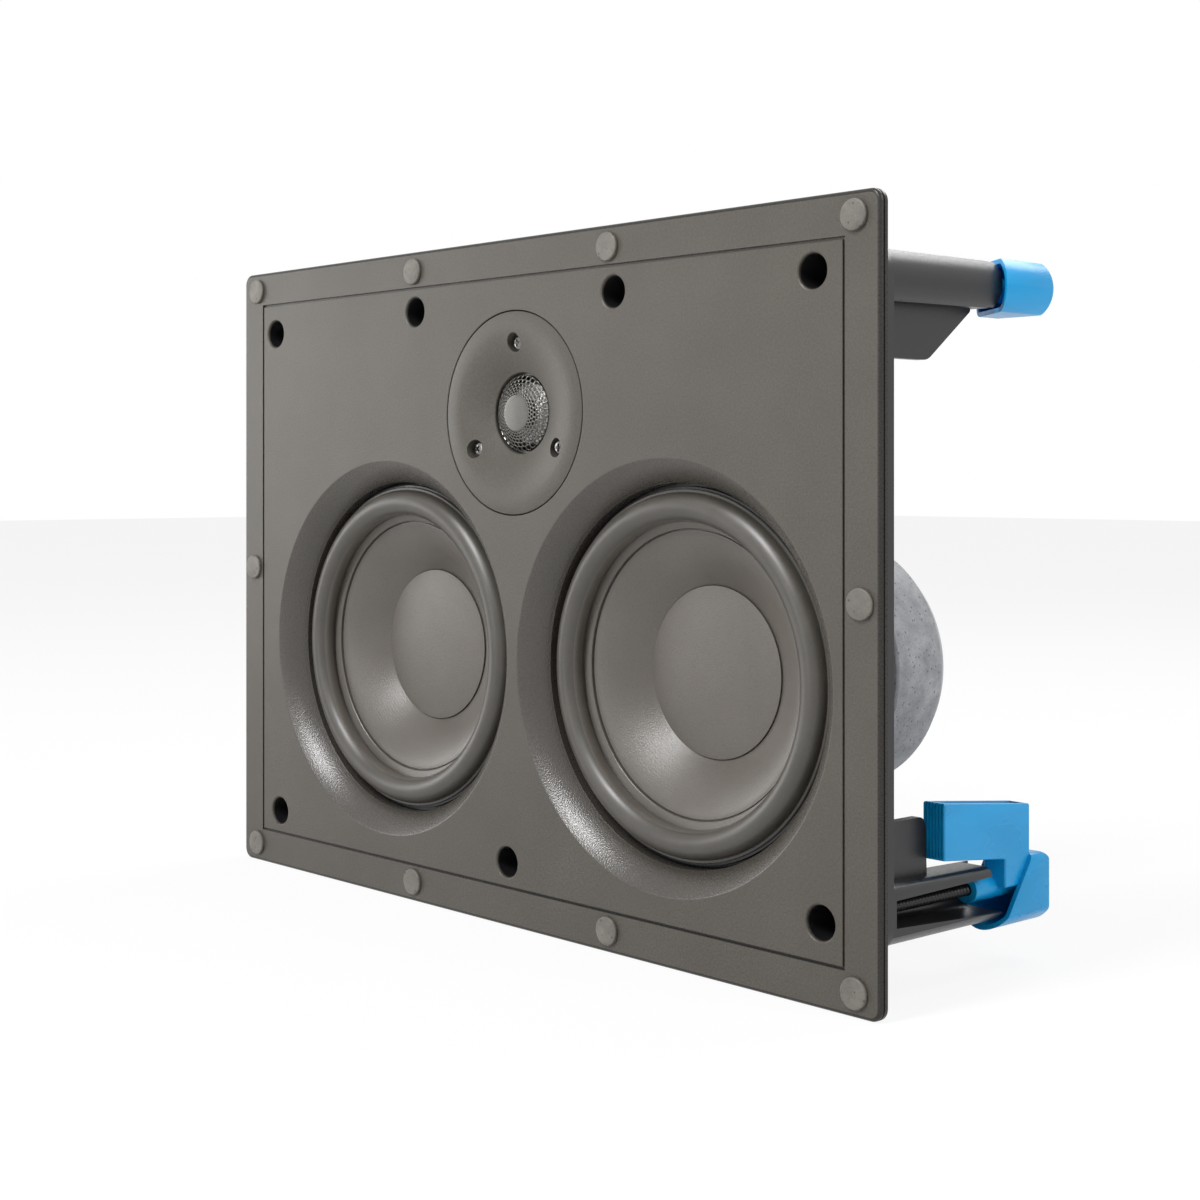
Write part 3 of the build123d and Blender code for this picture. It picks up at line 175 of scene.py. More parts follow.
class SpeakerStage(bpy.types.PropertyGroup):
    camera_turn: FloatProperty(
        name="Camera turn", description="Angle of the camera to the right of the front", default=math.radians(49.157),
        subtype="ANGLE",
    )
    camera_distance: length("Camera distance", 672.99, "Distance of the camera")
    camera_offset: length("Camera offset", 4.383, "Sideways place of the camera")
    camera_height: length("Camera height", 35.99, "Height of the camera above the middle")
    lens: FloatProperty(name="Lens", description="Focal length in millimetres", default=58.28)
    key_power: FloatProperty(name="Key light", description="Power of the softbox above the front", default=25.0)
    left_power: FloatProperty(name="Left light", description="Power of the softbox on the left", default=12.0)
    front_power: FloatProperty(name="Front light", description="Power of the strip light in front", default=5.0)
    side_power: FloatProperty(name="Side light", description="Power of the softbox on the right", default=8.0)
    rim_power: FloatProperty(name="Rim light", description="Power of the light behind the top", default=9.0)
    surroundings: FloatProperty(
        name="Surroundings", description="Soft light from all around", default=0.15, min=0.0, max=1.0
    )


# Node helpers

def dress(tree, made, **links):
    """Links or sets a node's inputs by their names, with _ for a space."""
    for label, value in links.items():
        socket = made.inputs[label.replace("_", " ")]
        if isinstance(value, bpy.types.NodeSocket):
            tree.links.new(value, socket)
        else:
            socket.default_value = value
    return made


def node(tree, kind, **links):
    """A new node of a kind, with its inputs linked or set."""
    return dress(tree, tree.nodes.new(kind), **links)


def finish(name):
    """A new material with its shader, and Object coordinates in metres."""
    material = bpy.data.materials.new(name)
    material.use_nodes = True
    tree = material.node_tree
    shader = tree.nodes["Principled BSDF"]
    place = tree.nodes.new("ShaderNodeTexCoord").outputs["Object"]
    return material, tree, shader, place


def mapped(tree, place, scale=(1, 1, 1), centre=(0, 0, 0)):
    """Object coordinates, moved so that centre is the origin and then stretched."""
    shift = [-c * s for c, s in zip(centre, scale)]
    return node(tree, "ShaderNodeMapping", Scale=scale, Location=shift, Vector=place).outputs["Vector"]


def noise(tree, place, size, detail=3.0, roughness=0.55, distortion=0.0):
    """Noise with features about size metres across."""
    return node(
        tree, "ShaderNodeTexNoise", Scale=1 / size, Detail=detail, Roughness=roughness, Distortion=distortion,
        Vector=place,
    ).outputs["Fac"]


def cells(tree, place, size, feature="F1", smoothness=None):
    """Rounded cells about size metres across, as a distance from their centres."""
    made = node(tree, "ShaderNodeTexVoronoi", Scale=1 / size, Vector=place)
    made.feature = feature
    if smoothness is not None:
        made.inputs["Smoothness"].default_value = smoothness
    return made.outputs["Distance"]


def levels(tree, value, low, high, out_low=0.0, out_high=1.0):
    """Stretches a value between two levels."""
    return node(
        tree, "ShaderNodeMapRange", Value=value, From_Min=low, From_Max=high, To_Min=out_low, To_Max=out_high,
    ).outputs["Result"]


def spread(tree, value, low, high):
    """Stretches a noise, which lies mostly between 0.3 and 0.7, over a range."""
    return levels(tree, value, 0.3, 0.7, low, high)


def calc(tree, operation, first, second=None):
    """A Math node in a material or a geometry tree."""
    made = tree.nodes.new("ShaderNodeMath")
    made.operation = operation
    for socket, value in zip(made.inputs, (first, second)):
        if isinstance(value, (int, float)):
            socket.default_value = value
        elif value is not None:
            tree.links.new(value, socket)
    return made.outputs["Value"]


def waves(tree, value, period):
    """A sine of a value in metres, with its period in metres."""
    return calc(tree, "SINE", calc(tree, "MULTIPLY", value, 2 * math.pi / period))


def axes(tree, vector):
    """A vector's three parts, by name."""
    return node(tree, "ShaderNodeSeparateXYZ", Vector=vector).outputs


def on_circle(tree, angle, radius, depth=0.0):
    """A place at an angle and a radius about the Y axis, at a depth along it."""
    across = calc(tree, "MULTIPLY", calc(tree, "COSINE", angle), radius)
    along = calc(tree, "MULTIPLY", calc(tree, "SINE", angle), radius)
    return node(tree, "ShaderNodeCombineXYZ", X=across, Y=depth, Z=along).outputs["Vector"]


def shades(tree, value, stops):
    """A colour ramp from (position, colour) pairs."""
    made = node(tree, "ShaderNodeValToRGB", Fac=value)
    ramp = made.color_ramp
    while len(ramp.elements) < len(stops):
        ramp.elements.new(0.5)
    for element, (position, rgb) in zip(ramp.elements, stops):
        element.position = position
        element.color = (*rgb, 1.0)
    return made.outputs["Color"]


def tinted(rgb, factor):
    """A colour made darker or lighter."""
    return tuple(min(1.0, c * factor) for c in rgb)


def tones(tree, rgb, value, *stops):
    """Darker and lighter shades of a colour, from (position, factor) pairs."""
    return shades(tree, value, [(position, tinted(rgb, factor)) for position, factor in stops])


def relief(tree, shader, height, depth, strength=1.0, below=None):
    """Bump of a given depth in metres, on top of another one."""
    made = node(tree, "ShaderNodeBump", Strength=strength, Distance=depth, Height=height)
    if below is not None:
        tree.links.new(below, made.inputs["Normal"])
    tree.links.new(made.outputs["Normal"], shader.inputs["Normal"])
    return made.outputs["Normal"]


def moulded_plastic(name, rgb, grain, depth, roughness, contrast=0.14, cloud=0.06, leather=0.0, sheen=0.5):
    """Moulded plastic with a spark-eroded grain, and a leathery one where leather is over 0."""
    material, tree, shader, place = finish(name)
    fine = noise(tree, place, grain, 4.0, 0.6)
    wide = noise(tree, place, 0.035, 2.0, 0.5)
    tone = calc(tree, "ADD", spread(tree, fine, -contrast, contrast), spread(tree, wide, -cloud, cloud))
    dress(
        tree, shader, Specular_IOR_Level=sheen, Roughness=spread(tree, fine, roughness - 0.06, roughness + 0.08),
        Base_Color=tones(tree, rgb, levels(tree, tone, -0.3, 0.3), (0.0, 0.62), (0.5, 1), (1.0, 1.45)),
    )
    normal = relief(tree, shader, fine, depth, 0.75)
    if leather > 0:
        pebbles = cells(tree, place, leather, "SMOOTH_F1", 0.6)
        relief(tree, shader, pebbles, depth * 1.6, 0.9, normal)
    return material


def satin_cone(name, rgb, centre):
    """Filled plastic of the cones, with faint rings from the mould and fine specks."""
    material, tree, shader, place = finish(name)
    x, z = centre
    local = axes(tree, mapped(tree, place, centre=(x, 0, z)))
    across = calc(tree, "MULTIPLY", local["X"], local["X"])
    along = calc(tree, "MULTIPLY", local["Z"], local["Z"])
    radius = calc(tree, "SQRT", calc(tree, "ADD", across, along))
    rings = waves(tree, radius, 0.0009)
    fine = noise(tree, place, 0.0005, 4.0, 0.65)
    wide = noise(tree, place, 0.02, 2.0, 0.5)
    tone = calc(tree, "ADD", spread(tree, fine, 0.36, 0.64), spread(tree, wide, -0.06, 0.06))
    dress(
        tree, shader, Base_Color=tones(tree, rgb, tone, (0.2, 0.72), (0.5, 1), (0.8, 1.3)),
        Roughness=spread(tree, fine, 0.27, 0.36), Specular_IOR_Level=0.55,
    )
    normal = relief(tree, shader, fine, 0.00011, 0.8)
    relief(tree, shader, rings, 0.000008, 0.35, normal)
    return material


def satin_rubber(name, rgb):
    """Smooth rubber with a dusty bloom and faint flow marks."""
    material, tree, shader, place = finish(name)
    fine = noise(tree, place, 0.0008, 3.0, 0.5)
    wide = noise(tree, place, 0.012, 3.0, 0.6, 0.4)
    tone = calc(tree, "ADD", spread(tree, fine, 0.42, 0.58), spread(tree, wide, -0.1, 0.1))
    dress(
        tree, shader, Base_Color=tones(tree, rgb, tone, (0.2, 0.75), (0.5, 1), (0.8, 1.3)),
        Roughness=spread(tree, wide, 0.34, 0.42), Specular_IOR_Level=0.55,
    )
    relief(tree, shader, fine, 0.00003, 0.5)
    return material


def clamp_plastic(name, rgb):
    """Glossy filled nylon with slight flow marks and a thin worn sheen."""
    material, tree, shader, place = finish(name)
    wide = noise(tree, mapped(tree, place, (1, 0.35, 1)), 0.012, 3.0, 0.5, 0.2)
    fine = noise(tree, place, 0.0009, 2.0, 0.5)
    dress(
        tree, shader, Base_Color=tones(tree, rgb, wide, (0.3, 0.9), (0.55, 1), (0.75, 1.06)),
        Roughness=spread(tree, wide, 0.26, 0.34), Specular_IOR_Level=0.4, Subsurface_Weight=0.06,
        Subsurface_Radius=(0.001, 0.002, 0.003), Subsurface_Scale=0.4,
    )
    relief(tree, shader, fine, 0.00002, 0.4)
    return material


def ferrite(name, rgb):
    """Ground ferrite with pores, chips and pale dust."""
    material, tree, shader, place = finish(name)
    wide = noise(tree, place, 0.008, 4.0, 0.65, 0.3)
    fine = noise(tree, place, 0.0007, 4.0, 0.6)
    pores = cells(tree, place, 0.0022, "F1")
    holes = levels(tree, pores, 0.05, 0.22)
    tone = calc(tree, "ADD", spread(tree, wide, 0.25, 0.75), spread(tree, fine, -0.14, 0.14))
    base = tones(tree, rgb, tone, (0.1, 0.6), (0.5, 1), (0.9, 1.5))
    mix = tree.nodes.new("ShaderNodeMix")
    mix.data_type = "RGBA"
    dress(tree, mix, Factor=holes, A=(*tinted(rgb, 0.3), 1), B=base)
    dress(tree, shader, Base_Color=mix.outputs["Result"], Roughness=spread(tree, fine, 0.42, 0.62))
    normal = relief(tree, shader, holes, 0.00018, 0.6)
    relief(tree, shader, fine, 0.00008, 0.6, normal)
    return material


def metal(name, rgb, roughness, grain=0.0012, metallic=1.0, stretch=(1, 1, 1), depth=0.00003):
    """Plated or bare metal with fine tool marks and faint stains."""
    material, tree, shader, place = finish(name)
    marks = noise(tree, mapped(tree, place, stretch), grain, 3.0, 0.6)
    stains = noise(tree, place, 0.01, 3.0, 0.55)
    tone = calc(tree, "ADD", spread(tree, marks, 0.38, 0.62), spread(tree, stains, -0.12, 0.12))
    dress(
        tree, shader, Base_Color=tones(tree, rgb, tone, (0.2, 0.7), (0.5, 1), (0.8, 1.2)), Metallic=metallic,
        Roughness=spread(tree, stains, max(0.04, roughness - 0.08), roughness + 0.08),
    )
    relief(tree, shader, marks, depth, 0.5)
    return material


def woven_cloth(name, rgb):
    """Resin-filled woven cloth of the spiders."""
    material, tree, shader, place = finish(name)
    local = axes(tree, place)
    threads = calc(tree, "MULTIPLY", waves(tree, local["X"], 0.0011), waves(tree, local["Z"], 0.0011))
    wide = noise(tree, place, 0.006, 3.0, 0.6)
    tone = calc(tree, "ADD", levels(tree, threads, -1, 1, 0.3, 0.7), spread(tree, wide, -0.12, 0.12))
    dress(
        tree, shader, Base_Color=tones(tree, rgb, tone, (0.2, 0.6), (0.5, 1), (0.8, 1.25)),
        Roughness=levels(tree, threads, -1, 1, 0.7, 0.85),
    )
    relief(tree, shader, threads, 0.00015, 0.7)
    return material


def wound_wire(name, rgb, axis, pitch):
    """Lacquered wire laid in close turns along an axis."""
    material, tree, shader, place = finish(name)
    turns = waves(tree, axes(tree, place)[axis], pitch)
    wide = noise(tree, place, 0.004, 3.0, 0.6)
    tone = calc(tree, "ADD", levels(tree, turns, -1, 1, 0.3, 0.7), spread(tree, wide, -0.12, 0.12))
    dress(
        tree, shader, Base_Color=tones(tree, rgb, tone, (0.1, 0.35), (0.5, 1), (0.9, 1.3)), Metallic=0.85,
        Roughness=spread(tree, wide, 0.25, 0.4),
    )
    relief(tree, shader, turns, pitch * 0.4, 0.8)
    return material


def make_finishes():
    """Every finish of the speaker, by name."""
    colours = bpy.context.scene.speaker_colours
    made = {
        "panel": moulded_plastic("Spark-eroded panel", colours.panel, 0.0007, 0.00014, 0.4, 0.14, 0.05, 0.0, 0.36),
        "border": moulded_plastic("Smooth border", colours.border, 0.00045, 0.00003, 0.28, 0.08, 0.05, 0.0, 0.28),
        "flare": moulded_plastic(
            "Leather-grained flare", colours.flare, 0.00045, 0.000048, 0.28, 0.12, 0.05, 0.0005, 0.65,
        ),
        "rear": moulded_plastic("Rear moulding", colours.rear, 0.0008, 0.00003, 0.34, 0.1, 0.14),
        "rubber": satin_rubber("Surround rubber", colours.rubber),
        "clamp": clamp_plastic("Clamp nylon", colours.clamp),
        "ferrite": ferrite("Ground ferrite", colours.ferrite),
        "disc": ferrite("Grille magnet", colours.disc),
        "foam": moulded_plastic("Gasket foam", (0.012, 0.012, 0.013), 0.0012, 0.0003, 0.85, 0.2),
        "basket": moulded_plastic("Painted basket", (0.012, 0.012, 0.013), 0.0016, 0.00004, 0.3, 0.1, 0.1),
        "plated": metal("Zinc-plated steel", (0.42, 0.43, 0.44), 0.34, 0.0009, 1.0, (1, 6, 1)),
        "bright": metal("Bright screw steel", (0.72, 0.73, 0.74), 0.2, 0.0004),
        "black_steel": metal("Blackened steel", (0.03, 0.03, 0.032), 0.36, 0.0008, 0.6),
        "chrome": metal("Dark chrome", (0.12, 0.116, 0.108), 0.32, 0.0006, 1.0, (1, 1, 1), 0.00001),
        "dark_steel": metal("Dark screw steel", (0.2, 0.196, 0.186), 0.16, 0.0006),
        "tin": metal("Tinned brass", (0.62, 0.58, 0.48), 0.3, 0.0005),
        "copper": wound_wire("Wound copper", (0.5, 0.19, 0.07), "Y", 0.0009),
        "former": metal("Coil former", (0.05, 0.045, 0.04), 0.4, 0.0006, 0.5),
        "spider": woven_cloth("Spider cloth", (0.42, 0.28, 0.1)),
        "dome": metal("Drawn dome metal", (0.36, 0.35, 0.335), 0.22, 0.0006, 1.0, (1, 1, 1), 0.000005),
        "tag_board": moulded_plastic("Terminal board", (0.014, 0.03, 0.02), 0.0005, 0.00003, 0.4, 0.2, 0.1),
        "board": moulded_plastic("Circuit board", (0.012, 0.09, 0.035), 0.0007, 0.00002, 0.3, 0.12, 0.2),
        "bobbin": moulded_plastic("Coil bobbin", (0.03, 0.03, 0.03), 0.0006, 0.00003, 0.4),
        "capacitor": moulded_plastic("Film capacitor", (0.5, 0.26, 0.03), 0.0008, 0.00002, 0.28, 0.06, 0.08),
        "resistor": moulded_plastic("Ceramic resistor", (0.62, 0.6, 0.54), 0.0005, 0.00012, 0.7, 0.1, 0.06),
        "terminal": moulded_plastic("Terminal body", (0.02, 0.02, 0.02), 0.0007, 0.00004, 0.4, 0.1, 0.08),
        "red": moulded_plastic("Red button", (0.5, 0.02, 0.015), 0.0007, 0.00002, 0.3, 0.06, 0.06),
        "black_button": moulded_plastic("Black button", (0.025, 0.025, 0.026), 0.0007, 0.00002, 0.3, 0.06, 0.06),
    }
    for side in SIDES:
        place = middle_of(f"{side}_woofer_magnet")
        made[f"{side}_cone"] = satin_cone(f"{side.capitalize()} cone plastic", colours.cone, place)
    return made


# Mesh helpers

def shade(mesh, angle=35.0):
    """Smooth faces with sharp edges over an angle in degrees."""
    mesh.shade_smooth()
    mesh.set_sharp_from_angle(angle=math.radians(angle))


def new_object(name, mesh):
    """An object in the scene from a mesh."""
    made = bpy.data.objects.new(name, mesh)
    bpy.context.scene.collection.objects.link(made)
    return made


def mesh_from(name, bm):
    """A mesh from a bmesh, which is freed."""
    bmesh.ops.recalc_face_normals(bm, faces=bm.faces)
    mesh = bpy.data.meshes.new(name)
    bm.to_mesh(mesh)
    bm.free()
    return mesh


def applied(made, name):
    """Replaces an object and its modifiers by a plain object of that result."""
    graph = bpy.context.evaluated_depsgraph_get()
    mesh = bpy.data.meshes.new_from_object(made.evaluated_get(graph))
    mesh.name = name
    bpy.data.objects.remove(made)
    return new_object(name, mesh)


def add_finishes(mesh, *keys):
    """Gives a mesh its finishes."""
    for key in keys:
        mesh.materials.append(FINISHES[key])


def one_finish(made, key):
    """Gives an object a single finish."""
    made.data.materials.clear()
    add_finishes(made.data, key)
    for face in made.data.polygons:
        face.material_index = 0


def even_normals(made):
    """Adds a modifier that weights the normals by face area."""
    weighted = made.modifiers.new("Even normals", "WEIGHTED_NORMAL")
    weighted.keep_sharp = True


def place_at(made, centre):
    """Moves an object's mesh from the origin to a centre in X and Z."""
    made.data.transform(Matrix.Translation((centre[0], 0, centre[1])))


def put_into(collection, made):
    """Moves an object from the scene into a collection of operands."""
    bpy.context.scene.collection.objects.unlink(made)
    collection.objects.link(made)


def drop(collection):
    """Removes a collection with its objects."""
    for item in list(collection.objects):
        bpy.data.objects.remove(item)
    bpy.data.collections.remove(collection)


def piece(made, body, slot, *nodes):
    """Lets a finished object ride on a body in place of CAD nodes, which it hides. Its slot is not used."""
    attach(made, body)
    if nodes:
        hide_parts(*nodes)
    return made


def join_rows(bm, low, high):
    """Faces between two closed rows of points, of which one may be a single point."""
    steps = max(len(low), len(high))
    for i in range(steps):
        j = (i + 1) % steps
        if len(low) == 1:
            bm.faces.new((low[0], high[j], high[i]))
        elif len(high) == 1:
            bm.faces.new((low[i], low[j], high[0]))
        else:
            bm.faces.new((low[i], low[j], high[j], high[i]))


def lofted(bm, rings):
    """A closed solid through rings of points, each a list of (x, y, z) of the same length."""
    rows = [[bm.verts.new(point) for point in ring] for ring in rings]
    for low, high in zip(rows, rows[1:]):
        join_rows(bm, low, high)
    bm.faces.new(rows[0])
    bm.faces.new(rows[-1][::-1])
    return bm


def solid(name, rings):
    """A mesh object of a closed solid through rings."""
    return new_object(name, mesh_from(name, lofted(bmesh.new(), rings)))


def turned(name, profile, centre, steps=160, closed=True):
    """A mesh turned about an axis along Y through centre, from (radius, depth) points in millimetres."""
    bm = bmesh.new()
    x, z = centre
    rows = []
    for radius, depth in profile:
        if radius < 1e-6:
            rows.append([bm.verts.new((x, depth * MM, z))])
            continue
        angles = [2 * math.pi * i / steps for i in range(steps)]
        rows.append([
            bm.verts.new((x + radius * MM * math.cos(a), depth * MM, z + radius * MM * math.sin(a))) for a in angles
        ])
    pairs = list(zip(rows, rows[1:]))
    if closed and len(rows[0]) > 1 and len(rows[-1]) > 1:
        pairs.append((rows[-1], rows[0]))
    for low, high in pairs:
        if len(low) > 1 or len(high) > 1:
            join_rows(bm, low, high)
    return mesh_from(name, bm)


def arc(start, through, end, steps):
    """Points of the circle arc through three points, both ends included."""
    (ax, ay), (bx, by), (cx, cy) = start, through, end
    d = 2 * (ax * (by - cy) + bx * (cy - ay) + cx * (ay - by))
    a2, b2, c2 = ax * ax + ay * ay, bx * bx + by * by, cx * cx + cy * cy
    ux = (a2 * (by - cy) + b2 * (cy - ay) + c2 * (ay - by)) / d
    uy = (a2 * (cx - bx) + b2 * (ax - cx) + c2 * (bx - ax)) / d
    radius = math.hypot(ax - ux, ay - uy)
    first = math.atan2(ay - uy, ax - ux)
    middle = math.atan2(by - uy, bx - ux)
    last = math.atan2(cy - uy, cx - ux)
    turn = (last - first) % (2 * math.pi)
    if (middle - first) % (2 * math.pi) > turn:
        turn -= 2 * math.pi
    return [
        (ux + radius * math.cos(first + turn * i / steps), uy + radius * math.sin(first + turn * i / steps))
        for i in range(steps + 1)
    ]


def cap_points(radius, rise, edge, steps):
    """Points of a shallow cap from its edge to its apex, which lies rise in front of the edge."""
    sphere = (radius ** 2 + rise ** 2) / (2 * rise)
    centre = edge - rise + sphere
    full = math.asin(radius / sphere)
    angles = [full * (1 - i / steps) for i in range(steps + 1)]
    return [(sphere * math.sin(a), centre - sphere * math.cos(a)) for a in angles]


def rounded_rectangle(width, height, corner, steps=8):
    """Points (x, z) of a rectangle with round corners."""
    points = []
    for index, (sx, sz) in enumerate(((1, 1), (-1, 1), (-1, -1), (1, -1))):
        cx, cz = sx * (width / 2 - corner), sz * (height / 2 - corner)
        for i in range(steps + 1):
            angle = math.pi / 2 * (index + i / steps)
            points.append((cx + corner * math.cos(angle), cz + corner * math.sin(angle)))
    return points


def rounded_polygon(corners, steps=4):
    """Points of a polygon given as (x, z, radius) corners."""
    points = []
    for i, (x, z, radius) in enumerate(corners):
        before, after = Vector(corners[i - 1][:2]), Vector(corners[(i + 1) % len(corners)][:2])
        here = Vector((x, z))
        if radius <= 0:
            points.append((x, z))
            continue
        to_before, to_after = (before - here).normalized(), (after - here).normalized()
        half = to_before.angle(to_after) / 2
        reach = radius / math.tan(half)
        middle = here + (to_before + to_after).normalized() * radius / math.sin(half)
        start, end = here + to_before * reach, here + to_after * reach
        first = math.atan2(start.y - middle.y, start.x - middle.x)
        turn = math.atan2(end.y - middle.y, end.x - middle.x) - first
        turn = (turn + math.pi) % (2 * math.pi) - math.pi
        for k in range(steps + 1):
            angle = first + turn * k / steps
            points.append((middle.x + radius * math.cos(angle), middle.y + radius * math.sin(angle)))
    return points


def at_depths(outlines):
    """Rings for a loft from (outline in millimetres, depth in millimetres) pairs."""
    return [[(x * MM, depth * MM, z * MM) for x, z in outline] for outline, depth in outlines]


def circle(radius, centre=(0, 0), steps=48):
    """Points of a circle in millimetres."""
    x, z = centre
    return [
        (x + radius * math.cos(2 * math.pi * i / steps), z + radius * math.sin(2 * math.pi * i / steps))
        for i in range(steps)
    ]


def rod(radius, centre, steps, low, high):
    """Rings of a round rod between two depths, in millimetres."""
    outline = circle(radius, centre, steps)
    return at_depths([(outline, low), (outline, high)])


def spots_on(centre, radius, count, first):
    """Places in millimetres on a circle round a centre in metres, from a first angle in degrees."""
    angles = [math.radians(first + 360 / count * i) for i in range(count)]
    return [(centre[0] / MM + radius * math.cos(a), centre[1] / MM + radius * math.sin(a)) for a in angles]


# Geometry trees

def geometry_tree(name, inputs):
    """A modifier tree with a Geometry input and output and the named inputs."""
    tree = bpy.data.node_groups.new(name, "GeometryNodeTree")
    tree.is_modifier = True
    tree.interface.new_socket("Geometry", in_out="INPUT", socket_type="NodeSocketGeometry")
    for label, kind, value in inputs:
        socket = tree.interface.new_socket(label, in_out="INPUT", socket_type=kind)
        if value is not None:
            socket.default_value = value
    tree.interface.new_socket("Geometry", in_out="OUTPUT", socket_type="NodeSocketGeometry")
    start = tree.nodes.new("NodeGroupInput")
    end = tree.nodes.new("NodeGroupOutput")
    return tree, start.outputs, end.inputs


def add_tree(made, tree, values):
    """Puts a tree on an object and sets its inputs by their labels."""
    modifier = made.modifiers.new(tree.name, "NODES")
    modifier.node_group = tree
    for item in tree.interface.items_tree:
        if item.item_type == "SOCKET" and item.in_out == "INPUT" and item.name in values:
            modifier[item.identifier] = values[item.name]


def copies_on(tree, points, source, turn_step):
    """Copies of an object on points, each turned about Y a step further than the one before."""
    index = tree.nodes.new("GeometryNodeInputIndex").outputs["Index"]
    turn = node(tree, "ShaderNodeCombineXYZ", Y=calc(tree, "MULTIPLY", index, turn_step))
    shape = node(tree, "GeometryNodeObjectInfo", Object=source).outputs["Geometry"]
    return node(
        tree, "GeometryNodeInstanceOnPoints", Points=points, Instance=shape, Rotation=turn.outputs["Vector"],
    ).outputs[0]


def realized(tree, geometry, start, end):
    """Ends a tree with real geometry in its finish."""
    real = node(tree, "GeometryNodeRealizeInstances", Geometry=geometry)
    done = node(tree, "GeometryNodeSetMaterial", Geometry=real.outputs[0], Material=start["Finish"])
    tree.links.new(done.outputs[0], end["Geometry"])
    return tree


def ring_tree():
    """Sets out copies of a fastener on a circle about the Y axis."""
    tree, start, end = geometry_tree("Ring of fasteners", [
        ("Fastener", "NodeSocketObject", None), ("Count", "NodeSocketInt", 3), ("Radius", "NodeSocketFloat", 0.02),
        ("Start angle", "NodeSocketFloat", 0.0), ("Turn step", "NodeSocketFloat", 0.7),
        ("Finish", "NodeSocketMaterial", None),
    ])
    points = node(tree, "GeometryNodePoints", Count=start["Count"])
    index = tree.nodes.new("GeometryNodeInputIndex").outputs["Index"]
    step = calc(tree, "DIVIDE", 2 * math.pi, start["Count"])
    angle = calc(tree, "ADD", calc(tree, "MULTIPLY", index, step), start["Start angle"])
    place = on_circle(tree, angle, start["Radius"])
    placed = node(tree, "GeometryNodeSetPosition", Geometry=points.outputs[0], Position=place)
    return realized(tree, copies_on(tree, placed.outputs[0], start["Fastener"], start["Turn step"]), start, end)


def points_tree():
    """Sets out copies of a piece on the points of a mesh."""
    tree, start, end = geometry_tree("Pieces on points", [
        ("Piece", "NodeSocketObject", None), ("Turn step", "NodeSocketFloat", 1.1),
        ("Finish", "NodeSocketMaterial", None),
    ])
    return realized(tree, copies_on(tree, start["Geometry"], start["Piece"], start["Turn step"]), start, end)


def thread_tree():
    """A threaded rod along Y from the origin, as a grid wrapped round the axis."""
    tree, start, end = geometry_tree("Screw thread", [
        ("Length", "NodeSocketFloat", 0.08), ("Radius", "NodeSocketFloat", 0.002),
        ("Pitch", "NodeSocketFloat", 0.0016), ("Thread depth", "NodeSocketFloat", 0.0003),
        ("Finish", "NodeSocketMaterial", None),
    ])
    around = 24
    rows = calc(tree, "MULTIPLY", calc(tree, "DIVIDE", start["Length"], start["Pitch"]), 6.0)
    grid = node(tree, "GeometryNodeMeshGrid", Size_X=1.0, Size_Y=1.0, Vertices_X=around + 1, Vertices_Y=rows)
    here = axes(tree, tree.nodes.new("GeometryNodeInputPosition").outputs["Position"])
    depth = calc(tree, "MULTIPLY", calc(tree, "ADD", here["Y"], 0.5), start["Length"])
    round_share = calc(tree, "ADD", here["X"], 0.5)
    angle = calc(tree, "MULTIPLY", round_share, 2 * math.pi)
    phase = calc(tree, "FRACT", calc(tree, "ADD", calc(tree, "DIVIDE", depth, start["Pitch"]), round_share))
    wave = calc(tree, "ABSOLUTE", calc(tree, "SUBTRACT", phase, 0.5))
    flank = calc(tree, "MINIMUM", calc(tree, "MULTIPLY", wave, 2.6), 1.0)
    radius = calc(tree, "SUBTRACT", start["Radius"], calc(tree, "MULTIPLY", flank, start["Thread depth"]))
    place = on_circle(tree, angle, radius, depth)
    wrapped = node(tree, "GeometryNodeSetPosition", Geometry=grid.outputs[0], Position=place)
    merged = node(tree, "GeometryNodeMergeByDistance", Geometry=wrapped.outputs[0], Distance=0.000001)
    return realized(tree, merged.outputs[0], start, end)


